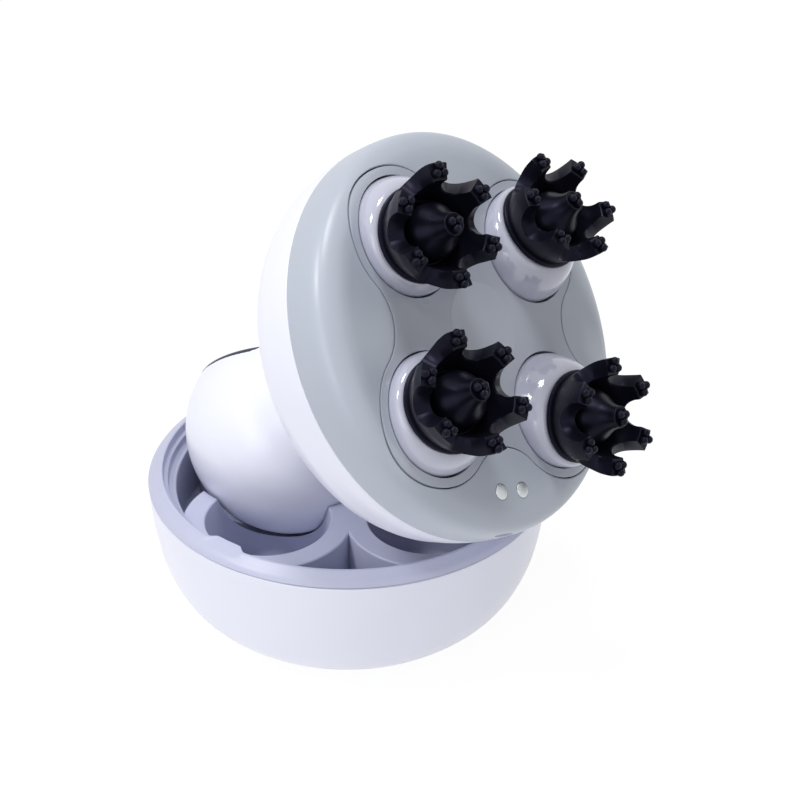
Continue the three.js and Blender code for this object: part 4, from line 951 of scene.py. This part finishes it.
    def build_back(self, shop: Workshop) -> None:
        """Build the white back shell.

        Args:
            shop: dresses the piece.
        """
        top = -self.parting - GAP
        outside = spline([(self.radius, top), *self.back_outline, (self.neck_radius, -self.back_depth)],
                         self.back_steps)
        both = self.wall_level + self.wall_upright
        inside = [(max(r - self.wall, self.collar_inner),
                   z + self.wall * smoothstep(self.wall_level, self.wall_upright, both - r))
                  for r, z in outside]
        edge = corner((self.radius - self.back_round, top - self.back_round), self.back_round, 90, 0, 3)
        collar = [(self.collar_outer, -self.back_depth), (self.collar_outer, -self.collar_depth),
                  (self.collar_inner, -self.collar_depth), (self.collar_inner, -self.back_depth + self.wall)]
        profile = [(self.radius - self.wall, top), *edge, *outside[1:], *collar, *reversed(inside[1:])]
        back = lathe("back_bowl", profile, MASSAGER, closed=True)
        shop.fit(back, WHITE_ABS, "massager", "white_shell", "back_shell")

    def build_contacts(self, shop: Workshop) -> None:
        """Build the two plated charging contacts with their softened edges.

        Args:
            shop: dresses the pieces.
        """
        r = self.contact_radius
        side, bend = self.contact_shoulder
        round_edge = corner((r - self.contact_round, bend), self.contact_round, 0, 90, 4)
        profile = [(0, -self.contact_depth), (r, -self.contact_depth), (r, side), *round_edge,
                   (0, self.contact_crown)]
        for i, place in enumerate(self.contact_places(), 1):
            contact = lathe(f"contact_stud_{i}", profile, place, COARSE)
            shop.fit(contact, SATIN_NICKEL, "massager", "chrome", f"charge_contact_{i}")


# Heads

@dataclass(frozen=True)
class Head:
    """One kneading head: the way it leans and how its crown is turned, in degrees."""

    number: int
    lean_towards: float
    crown_turn: float


HEADS = (Head(1, -145, 38.9), Head(2, 118.5, 53.6), Head(3, 167.3, 39.8), Head(4, -94.5, 33.8))


@dataclass
class Heads:
    """The four pods and the silicone crowns on them.

    Outlines are pairs of height and radius for the crown's wall, and of radius and height for the rest, in
    millimetres. Fields whose names end in steps count chords.
    """

    tilt: float = 12.5
    pivot: float = 8.2
    base_from_pivot: float = 15.5
    opening: float = 16.4
    top_radius: float = 11.6
    panel: float = PANEL
    pod_steps: int = 22
    # How late the pod draws in and leans as it rises: larger powers leave it to the top.
    pod_bulge: float = 2.4
    pod_shift: int = 2
    pod_lean: float = 1.5
    base_radius: float = 12.4
    # The crown's rolled foot: how far each point stands out from the base radius, and its height.
    foot_outline: tuple[Point, ...] = ((-0.3, 0), (0, 0.25), (0.04, 0.65), (0, 1.05), (-0.3, 1.32),
                                       (-0.8, 1.38), (-0.95, 1.48))
    wall_outside: tuple[Point, ...] = ((1.6, 11.7), (4.0, 12.6), (7.0, 13.9), (10.0, 15.0))
    wall_inside: tuple[Point, ...] = ((2.9, 8.2), (5.0, 8.6), (7.6, 9.7), (10.0, 10.6))
    wall_steps: int = 24
    # The heights at which the wall's outer and inner side meet the foot and the moat round the post.
    wall_from: float = 1.6
    wall_down_to: float = 3.2
    outside_rows: int = 12
    inside_rows: int = 10
    rim_round: float = 0.3
    # The bend beside the rim: how far across the wall, and how far up from the rim's height.
    rim_shoulder: Point = (0.22, -0.05)
    # The rim's height depends on the wall's radius there, so it is found in rounds of damped correction.
    rim_rounds: int = 12
    rim_damping: float = 0.7
    tip_columns: int = 5
    scoop_columns: int = 24
    bore: float = 4.8
    bore_depth: float = 4.3
    moat: tuple[Point, ...] = ((8.0, 2.95), (7.8, 2.95))
    post_outline: tuple[Point, ...] = ((7.6, 3.1), (7.5, 5.0), (6.9, 7.4), (5.6, 9.4), (4.2, 11.2),
                                       (3.3, 13.0))
    post_side: float = 14.7
    post_steps: int = 20
    post_round: float = 0.3
    post_rim: float = 14.8
    # The last point beside the post's dished middle: how far in from its side, and its height.
    post_top: Point = (0.5, 14.95)
    post_middle: float = 14.9
    tip_height: float = 13.3
    tip_radius: float = 15.5
    finger: float = 4.4
    fingers: int = 6
    spread: float = 0.325
    stretch: float = 1.7
    post_height: float = 15.1
    post_radius: float = 2.9
    bead_radius: float = 1.1
    bead_circle: float = 1.25
    bead_rise: float = 0.6
    bead_fineness: int = 3

    def foot(self, head: Head) -> Matrix:
        """Return the place of a head's spin axis, turned the way it leans."""
        return HEAD_PLACES[head.number - 1] @ turned(head.lean_towards, Turn.Z)

    def crown_place(self, head: Head) -> Matrix:
        """Return the place of a crown's base."""
        return (self.foot(head) @ Matrix.Translation((0, 0, -self.pivot)) @ turned(self.tilt, Turn.Y)
                @ Matrix.Translation((0, 0, self.base_from_pivot))
                @ turned(head.crown_turn - head.lean_towards, Turn.Z))

    def build_pod(self, head: Head, shop: Workshop) -> None:
        """Build a polished pod: a dome whose flat top leans and shifts one way.

        Args:
            head: the head to build it for.
            shop: dresses the piece.
        """
        reach = self.base_from_pivot - GAP
        tilt = math.radians(self.tilt)
        low = self.opening - 2 * GAP
        top = Vector((reach * math.sin(tilt), 0, reach * math.cos(tilt) - self.pivot))
        base = 2 * GAP - self.panel
        columns: list[list[Vector]] = [[] for _ in range(MEDIUM)]
        for step in range(self.pod_steps + 1):
            share = math.sin(math.pi / 2 * step / self.pod_steps)
            centre = Vector((top.x * share ** self.pod_shift, 0, base + (top.z - base) * share))
            swell = math.sqrt(max(1 - share ** self.pod_bulge, 0.0))
            radius = self.top_radius + (low - self.top_radius) * swell
            ring = Matrix.Translation(centre) @ Matrix.Rotation(tilt * share ** self.pod_lean, 4, "Y")
            for i, column in enumerate(columns):
                angle = 2 * math.pi * i / MEDIUM
                column.append(ring @ Vector((radius * math.cos(angle), radius * math.sin(angle), 0)))
        for column in columns:
            column.insert(0, Vector((0, 0, base)))
            column.append(top.copy())
        pod = rings(f"pod_dome_{head.number}", columns, self.foot(head))
        shop.fit(pod, GLOSS_ABS, f"head_{head.number}", "lilac_gloss", f"pod_{head.number}")

    def wall_radius(self, height: float, outer: bool) -> float:
        """Return the cup wall's radius at a height, outside or inside."""
        if outer:
            points = [*self.wall_outside, (self.tip_height, self.tip_radius)]
        else:
            points = [*self.wall_inside, (self.tip_height, self.tip_radius - self.finger)]
        return between(spline(points, self.wall_steps), height)

    def rim_height(self, angle: float, outer: bool) -> float:
        """Return the cup wall's height in a direction, where a scoop may cut it down.

        Args:
            angle: direction in radians from the first finger.
            outer: whether to measure on the outer face.

        Returns:
            The height in millimetres.
        """
        sector = 2 * math.pi / self.fingers
        off = (angle + sector) % sector - sector / 2
        inside = self.spread ** 2 - math.sin(off) ** 2
        if inside <= 0:
            return self.tip_height
        height = self.tip_height / 2
        for _ in range(self.rim_rounds):
            radius = self.wall_radius(height, outer)
            goal = self.tip_height - self.stretch * radius * math.sqrt(inside)
            height += (goal - height) * self.rim_damping
        return height

    def crown_angles(self) -> list[float]:
        """Return directions round the crown, closest together where the scoops begin."""
        sector = 2 * math.pi / self.fingers
        half = math.asin(self.spread)
        tips = [-sector / 2 + (sector / 2 - half) * i / self.tip_columns for i in range(self.tip_columns)]
        scoop = [half * math.sin(math.pi * (i / self.scoop_columns - 0.5))
                 for i in range(self.scoop_columns + 1)]
        offsets = [*tips, *scoop, *[-t for t in reversed(tips[1:])]]
        return [sector * (i + 0.5) + off for i in range(self.fingers) for off in offsets]

    def crown_section(self, angle: float) -> list[Point]:
        """Return the crown's outline in one direction.

        Args:
            angle: direction in radians from the first finger.

        Returns:
            The points from the middle of the base, over the wall and down inside, to the middle of the post.
        """
        high_out, high_in = self.rim_height(angle, True), self.rim_height(angle, False)
        top_out, top_in = high_out - self.rim_round, high_in - self.rim_round
        outside = [self.wall_from + (top_out - self.wall_from) * j / self.outside_rows
                   for j in range(self.outside_rows + 1)]
        inside = [top_in - (top_in - self.wall_down_to) * j / self.inside_rows
                  for j in range(self.inside_rows + 1)]
        across, down = self.rim_shoulder
        section = [(0, self.bore_depth), (self.bore, self.bore_depth), (self.bore, 0)]
        section += [(self.base_radius + out, z) for out, z in self.foot_outline]
        section += [(self.wall_radius(z, True), z) for z in outside]
        section += [(self.wall_radius(high_out, True) - across, high_out + down)]
        section += [(self.wall_radius(high_in, False) + across, high_in + down)]
        section += [(self.wall_radius(z, False), z) for z in inside]
        return [*section, *self.moat, *self.post_section()]

    def post_section(self) -> list[Point]:
        """Return the centre post's outline, from its foot to its middle."""
        side = spline([*self.post_outline, (self.post_radius, self.post_side)], self.post_steps)
        rim = corner((self.post_radius - self.post_round, self.post_rim), self.post_round, 0, 90, 3)
        inset, height = self.post_top
        return [*side, *rim, (self.post_radius - inset, height), (0, self.post_middle)]

    def build_crown(self, head: Head, shop: Workshop) -> None:
        """Build a silicone crown: a cup of six fingers round a domed post.

        Args:
            head: the head that carries it.
            shop: dresses the piece.
        """
        crown = swept(f"crown_cup_{head.number}", self.crown_angles(), self.crown_section,
                      self.crown_place(head))
        body = f"crown_{head.number}"
        shop.fit(crown, SILICONE, body, "black_silicone", body)

    def bead_tree(self) -> bpy.types.NodeTree:
        """Build the node tree that sets three beads on each finger tip and on the post.

        Returns:
            The tree, with named inputs for its sizes and its material.
        """
        tree = bpy.data.node_groups.new("bead_trios", "GeometryNodeTree")
        face = tree.interface
        face.new_socket("Geometry", in_out="INPUT", socket_type="NodeSocketGeometry")
        for name in ("Tip Circle", "Tip Height", "Post Height", "Bead Radius", "Bead Circle"):
            face.new_socket(name, in_out="INPUT", socket_type="NodeSocketFloat")
        face.new_socket("Fingers", in_out="INPUT", socket_type="NodeSocketInt")
        face.new_socket("Material", in_out="INPUT", socket_type="NodeSocketMaterial")
        face.new_socket("Geometry", in_out="OUTPUT", socket_type="NodeSocketGeometry")
        given = add(tree, "NodeGroupInput").outputs
        trio = add(tree, "GeometryNodeMeshCircle", {"Vertices": 3},
                   {"Radius": given["Bead Circle"]}).outputs["Mesh"]
        tips = add(tree, "GeometryNodeMeshCircle", None,
                   {"Vertices": given["Fingers"], "Radius": given["Tip Circle"]})
        spot = add(tree, "GeometryNodeInputPosition").outputs["Position"]
        facing = add(tree, "FunctionNodeAlignEulerToVector", {"axis": "X"},
                     {"Vector": spot}).outputs["Rotation"]
        trios = add(tree, "GeometryNodeInstanceOnPoints", None,
                    {"Points": tips.outputs["Mesh"], "Instance": trio, "Rotation": facing})
        placed = [(trios.outputs["Instances"], given["Tip Height"]), (trio, given["Post Height"])]
        groups = []
        for geometry, height in placed:
            lift = add(tree, "ShaderNodeCombineXYZ", None, {"Z": height}).outputs["Vector"]
            solid = add(tree, "GeometryNodeRealizeInstances", None, {"Geometry": geometry})
            moved = add(tree, "GeometryNodeTransform", None,
                        {"Geometry": solid.outputs["Geometry"], "Translation": lift})
            groups.append(moved.outputs["Geometry"])
        spots = add(tree, "GeometryNodeJoinGeometry")
        for group in groups:
            tree.links.new(group, spots.inputs["Geometry"])
        ball = add(tree, "GeometryNodeMeshIcoSphere", {"Subdivisions": self.bead_fineness},
                   {"Radius": given["Bead Radius"]})
        balls = add(tree, "GeometryNodeInstanceOnPoints", None,
                    {"Points": spots.outputs["Geometry"], "Instance": ball.outputs["Mesh"]})
        solid = add(tree, "GeometryNodeRealizeInstances", None, {"Geometry": balls.outputs["Instances"]})
        dressed = add(tree, "GeometryNodeSetMaterial", None,
                      {"Geometry": solid.outputs["Geometry"], "Material": given["Material"]})
        add(tree, "NodeGroupOutput", None, {"Geometry": dressed.outputs["Geometry"]})
        return tree

    def build_beads(self, head: Head, tree: bpy.types.NodeTree, shop: Workshop) -> None:
        """Build a crown's beads from the node tree.

        Args:
            head: the head whose crown they stand on.
            tree: the bead tree.
            shop: dresses the piece.
        """
        holder = shown(f"bead_trios_{head.number}", bpy.data.meshes.new("bead_trios"))
        modifier = holder.modifiers.new("beads", "NODES")
        modifier.node_group = tree
        sizes = {"Tip Circle": (self.tip_radius - self.finger / 2) * MM, "Bead Radius": self.bead_radius * MM,
                 "Tip Height": (self.tip_height + self.bead_rise) * MM, "Bead Circle": self.bead_circle * MM,
                 "Post Height": (self.post_height + self.bead_rise) * MM, "Fingers": self.fingers,
                 "Material": shop.material(SILICONE)}
        for item in tree.interface.items_tree:
            if item.in_out == "INPUT" and item.name in sizes:
                modifier[item.identifier] = sizes[item.name]
        beads = plain(holder)
        place = self.crown_place(head)
        place.translation *= MM
        beads.data.transform(place)
        body = f"crown_{head.number}"
        shop.fit(beads, SILICONE, body, "black_silicone")

    def build(self, shop: Workshop) -> None:
        """Build the four heads.

        Args:
            shop: dresses the pieces.
        """
        tree = self.bead_tree()
        for head in HEADS:
            self.build_pod(head, shop)
            self.build_crown(head, shop)
            self.build_beads(head, tree, shop)


# Handle

@dataclass
class Handle:
    """The white knob on a short neck, with the ringed flat that holds the power button.

    Lengths are in millimetres. Fields whose names end in steps count chords.
    """

    centre: tuple[float, float, float] = KNOB_CENTRE
    radius: float = 31.0
    back: float = 28.0
    front: float = 31.0
    neck: float = 20.2
    root: float = NECK_RADIUS
    root_depth: float = 43.8
    rear_steps: int = 30
    shoulder_angle: float = 33.2
    shoulder_steps: int = 3
    shoulder_height: float = 21.7
    shoulder_sink: float = 1.6
    # The neck: how far each point stands out from the neck's radius, and how far it is short of the joint.
    neck_outline: tuple[Point, ...] = ((0.2, 13), (0, 9), (2.1, 3))
    front_steps: int = 50
    # How far the knob runs past the joint before it is cut off level.
    overrun: float = 8.0
    overrun_flare: float = 3.0
    cutter_width: float = 120.0
    cutter_height: float = 40.0
    cutter_round: float = 0.01
    cutter_reach: float = 90.0
    seat_gap: float = 0.25
    flat_turn: float = 10.1
    flat_dip: float = 3.7
    flat: float = 17.7
    flare: float = 5.0
    flare_height: float = 9.0
    pocket_radius: float = 24.0
    pocket_floor: float = 14.7
    opening_radius: float = 18.2
    opening_floor: float = 9.2
    ring_radius: float = 25.2
    ring_height: float = 1.1
    ring_band: float = 2.4
    ring_lift: float = 0.05
    # The ring's rounded top: how far in from its radius, and how far up from its foot or down from its top.
    ring_side: tuple[Point, ...] = ((0, 0), (0.05, 0.5))
    ring_crest: tuple[Point, ...] = ((0.5, 0.25), (1.1, 0))
    # The same at its inner edge, counted outwards.
    ring_inner: tuple[Point, ...] = ((0.25, 0.1), (0, 0.4))
    ring_steps: int = 24
    ring_skirt: float = 1.6
    ring_rebate: float = 1.5
    plate_sink: float = 0.4
    plate_gap: float = 0.15
    # The plate's rounded face: how far out from its hole or in from its edge, and how far down from its top.
    plate_hole_edge: tuple[Point, ...] = ((0.3, 0.35), (1.6, 0.12))
    plate_outer_edge: tuple[Point, ...] = ((3, 0), (0.3, 0))
    plate_steps: int = 12
    plate_drop: float = 0.6
    plate_side: float = 0.3
    plate_thickness: float = 2.5
    button_radius: float = 8.7
    button_proud: float = 0.6
    button_round: float = 0.5
    button_rim: float = 0.56
    # The button's dished top: radius, and how far down from its height.
    button_dish: tuple[Point, ...] = ((6.4, 0.1), (3.2, 0.42), (0, 0.55))
    button_edge: float = 0.06
    button_steps: int = 16
    button_depth: float = 2.6

    def axis(self) -> Vector:
        """Return the way from the knob's centre to the middle of the neck joint."""
        return Vector((0, 0, -self.root_depth)) - Vector(self.centre)

    def knob_place(self) -> Matrix:
        """Return the knob's own frame, with +Z along its neck."""
        turn = Vector((0, 0, 1)).rotation_difference(self.axis()).to_matrix().to_4x4()
        return MASSAGER @ Matrix.Translation(self.centre) @ turn

    def flat_place(self) -> Matrix:
        """Return the flat's frame, with +Z along its normal and its origin at the knob's centre."""
        return (MASSAGER @ Matrix.Translation(self.centre) @ turned(-self.flat_turn, Turn.Z)
                @ turned(-90 - self.flat_dip, Turn.X))

    def build_knob(self, shop: Workshop) -> None:
        """Build the knob and its neck, cut off level with the joint, with the seat of the flat.

        Args:
            shop: dresses the piece.
        """
        root = self.axis().length
        radius = self.radius
        rear = [(radius * math.cos(a), self.back * math.sin(a))
                for a in (math.radians(-90 + 90 * i / self.rear_steps) for i in range(self.rear_steps + 1))]
        steps = self.shoulder_steps
        shoulder = [(radius * math.cos(a), self.front * math.sin(a))
                    for a in (math.radians(self.shoulder_angle * i / steps) for i in range(steps + 1))]
        neck = [(self.neck + out, root - short) for out, short in self.neck_outline]
        bend = ((radius + self.neck) / 2 - self.shoulder_sink, self.shoulder_height)
        overrun = (self.root + self.overrun_flare, root + self.overrun)
        front = spline([*shoulder, bend, *neck, (self.root, root), overrun], self.front_steps)
        knob = lathe("knob_body", [*rear, *front[1:], (0, root + self.overrun)], self.knob_place())
        wide, tall = self.cutter_width, self.cutter_height
        level = rounded_block("joint_level", (wide, wide, tall), self.cutter_round,
                              MASSAGER @ Matrix.Translation((0, 0, tall / 2 - self.root_depth)))
        seat = self.ring_radius + self.seat_gap
        high = self.cutter_reach
        recess = lathe("flat_seat", [(0, self.opening_floor), (self.opening_radius, self.opening_floor),
                                     (self.opening_radius, self.pocket_floor),
                                     (self.pocket_radius, self.pocket_floor), (self.pocket_radius, self.flat),
                                     (seat, self.flat), (seat + self.flare, self.flat + self.flare_height),
                                     (seat + self.flare, high), (0, high)], self.flat_place(), FINE)
        knob = carved(knob, [level, recess])
        shop.fit(knob, WHITE_ABS, "massager", "white_shell", "handle_shell")

    def build_flat(self, shop: Workshop) -> None:
        """Build the plated ring, the plate inside it and the power button, in that order.

        Args:
            shop: dresses the pieces.
        """
        place = self.flat_place()
        top = self.flat + GAP + self.ring_height
        inner = self.ring_radius - self.ring_band
        # The ring's chrome colour is darkened: a painted dark reflection.
        shop.fit(self.ring(place, top, inner), CHROME_PAINTED_DARK_REFLECTION, "massager", "chrome", "chrome_ring")
        plate_top = top - self.plate_sink
        plate = self.plate(place, plate_top, inner - self.plate_gap)
        shop.fit(plate, WHITE_ABS, "massager", "white_shell", "button_plate")
        button = self.button(place, plate_top + self.button_proud)
        shop.fit(button, GLOSS_ABS, "power_button", "lilac_gloss", "power_button")

    def ring(self, place: Matrix, top: float, inner: float) -> bpy.types.Object:
        """Make the plated ring.

        Args:
            place: the flat's frame.
            top: the height of its crest.
            inner: its inner radius.

        Returns:
            The ring.
        """
        wide = self.ring_radius
        low = self.flat + self.ring_lift
        crest = [*[(wide - inset, low + up) for inset, up in self.ring_side],
                 *[(wide - inset, top - down) for inset, down in self.ring_crest],
                 *[(inner + out, top - down) for out, down in self.ring_inner]]
        skirt = low - self.ring_skirt
        section = [*spline(crest, self.ring_steps), (inner, skirt), (wide - self.ring_rebate, skirt),
                   (wide - self.ring_rebate, low)]
        return lathe("ring_band", section, place, FINE, True)

    def plate(self, place: Matrix, top: float, outer: float) -> bpy.types.Object:
        """Make the plate inside the ring, with the button's hole.

        Args:
            place: the flat's frame.
            top: the height of its face.
            outer: its radius.

        Returns:
            The plate.
        """
        hole = self.button_radius + GAP
        face = [*[(hole + out, top - down) for out, down in self.plate_hole_edge],
                *[(outer - inset, top - down) for inset, down in self.plate_outer_edge]]
        low = top - self.plate_thickness
        section = [(hole, low), (hole, top - self.plate_drop), *spline(face, self.plate_steps),
                   (outer, top - self.plate_side), (outer, low)]
        return lathe("button_surround", section, place, MEDIUM, True)

    def button(self, place: Matrix, top: float) -> bpy.types.Object:
        """Make the power button with its dished top.

        Args:
            place: the flat's frame.
            top: the height of its edge.

        Returns:
            The button.
        """
        edge = self.button_radius - self.button_round
        dish = spline([(edge, top - self.button_edge), *[(r, top - down) for r, down in self.button_dish]],
                      self.button_steps)
        rim = corner((edge, top - self.button_rim), self.button_round, 0, 90, 5)
        low = top - self.button_depth
        section = [(0, low), (self.button_radius, low), *rim, *dish[1:]]
        return lathe("power_button_cap", section, place, MEDIUM)


# Studio

def background_rays(tree: bpy.types.NodeTree, path: bpy.types.bpy_prop_collection) -> bpy.types.NodeSocket:
    """Tell the rays that show the background from the rays that light the object.

    Args:
        tree: the node tree.
        path: the outputs of its Light Path node.

    Returns:
        A socket that is 1 for camera, glossy and transmission rays.
    """
    mirrored = add(tree, "ShaderNodeMath", {"operation": "MAXIMUM"},
                   {0: path["Is Glossy Ray"], 1: path["Is Transmission Ray"]}).outputs["Value"]
    return add(tree, "ShaderNodeMath", {"operation": "MAXIMUM"},
               {0: path["Is Camera Ray"], 1: mirrored}).outputs["Value"]


@dataclass(frozen=True)
class Lamp:
    """A square soft lamp: its place and side in metres and its power in watts."""

    name: str
    at: tuple[float, float, float]
    size: float
    power: float


LAMPS = (Lamp("key_lamp", (-0.5, -0.25, 0.8), 0.18, 2.9), Lamp("front_lamp", (-0.4, -0.7, 0.4), 0.45, 1.15),
         Lamp("overhead_lamp", (0.0, -0.05, 0.92), 0.18, 2.6), Lamp("fill_lamp", (0.6, -0.7, 0.35), 0.6, 0.6))


@dataclass
class Studio:
    """Plain pale floor, soft lamps and the camera at the photograph's angle."""

    camera_mm: tuple[float, float, float] = (14.95, -373.5, 284.0)
    lens: float = 67.1
    sensor_width: float = 36.0
    clip_start: float = 0.01
    pitch: float = 59.9
    roll: float = 0.70
    lamp_aim: tuple[float, float, float] = (0.0, 0.0, 0.07)
    world_strength: float = 0.34
    floor_size: float = 4.0
    floor_drop: float = 0.0001
    floor_colour: str = "#f6f6f8"
    floor_white: float = 0.85
    floor_glow: float = 1.09

    def build_camera(self) -> None:
        """Set up the camera."""
        data = bpy.data.cameras.new("camera")
        data.lens = self.lens
        data.sensor_width = self.sensor_width
        data.clip_start = self.clip_start
        camera = bpy.data.objects.new("camera", data)
        place = Matrix.Translation(Vector(self.camera_mm) * MM)
        camera.matrix_world = place @ turned(self.pitch, Turn.X) @ turned(self.roll, Turn.Z)
        bpy.context.scene.collection.objects.link(camera)
        bpy.context.scene.camera = camera

    def build_lamps(self) -> None:
        """Add the lamps and aim them at the massager."""
        for lamp in LAMPS:
            data = bpy.data.lights.new(lamp.name, "AREA")
            data.shape = "SQUARE"
            data.size = lamp.size
            data.energy = lamp.power
            holder = bpy.data.objects.new(lamp.name, data)
            aim = (Vector(self.lamp_aim) - Vector(lamp.at)).to_track_quat("-Z", "Y")
            holder.matrix_world = Matrix.Translation(lamp.at) @ aim.to_matrix().to_4x4()
            bpy.context.scene.collection.objects.link(holder)

    def build_world(self) -> None:
        """Light everything evenly, and show white to the camera and in reflections."""
        world = bpy.data.worlds.new("studio")
        world.use_nodes = True
        tree = world.node_tree
        tree.nodes.clear()
        path = add(tree, "ShaderNodeLightPath").outputs
        seen = background_rays(tree, path)
        soft = add(tree, "ShaderNodeBackground", {"Color": (1, 1, 1, 1), "Strength": self.world_strength})
        bright = add(tree, "ShaderNodeBackground", {"Color": (1, 1, 1, 1), "Strength": 1.0})
        mix = add(tree, "ShaderNodeMixShader", None,
                  {0: seen, 1: soft.outputs["Background"], 2: bright.outputs["Background"]})
        add(tree, "ShaderNodeOutputWorld", None, {"Surface": mix.outputs["Shader"]})
        bpy.context.scene.world = world

    def build_floor(self) -> None:
        """Lay a plain pale floor that keeps the dock's shadow."""
        bm = bmesh.new()
        bmesh.ops.create_grid(bm, x_segments=1, y_segments=1, size=self.floor_size,
                              matrix=Matrix.Translation((0, 0, -self.floor_drop)))
        mesh = bpy.data.meshes.new("floor")
        bm.to_mesh(mesh)
        bm.free()
        floor = bpy.data.objects.new("floor", mesh)
        bpy.context.scene.collection.objects.link(floor)
        material = bpy.data.materials.new("paper_white")
        material.use_nodes = True
        tree = material.node_tree
        tree.nodes.clear()
        paper = add(tree, "ShaderNodeBsdfDiffuse", {"Color": linear(self.floor_colour)})
        glow = add(tree, "ShaderNodeEmission", {"Color": (1, 1, 1, 1), "Strength": self.floor_glow})
        path = add(tree, "ShaderNodeLightPath").outputs
        share = add(tree, "ShaderNodeMath", {"operation": "MULTIPLY", 1: self.floor_white},
                    {0: background_rays(tree, path)})
        mix = add(tree, "ShaderNodeMixShader", None,
                  {0: share.outputs["Value"], 1: paper.outputs["BSDF"], 2: glow.outputs["Emission"]})
        add(tree, "ShaderNodeOutputMaterial", None, {"Surface": mix.outputs["Shader"]})
        mesh.materials.append(material)

    def build(self) -> None:
        """Set up the studio."""
        self.build_camera()
        self.build_world()
        self.build_floor()
        self.build_lamps()
        bpy.context.scene.view_settings.view_transform = "Standard"


def main() -> None:
    """Build every piece, in order."""
    logging.basicConfig(level=logging.INFO, format="%(message)s")
    Studio().build()
    shop = Workshop()
    shop.dress_nodes()
    dock = Dock()
    steps: list[Callable[[Workshop], None]] = [dock.build_shell, dock.build_liner]
    disc = Disc()
    steps += [disc.build_face, disc.build_panel, disc.build_cap, disc.build_well_floors, disc.build_back,
              disc.build_contacts, Heads().build]
    handle = Handle()
    steps += [handle.build_knob, handle.build_flat]
    for step in steps:
        step(shop)


if __name__ == "__main__":
    main()
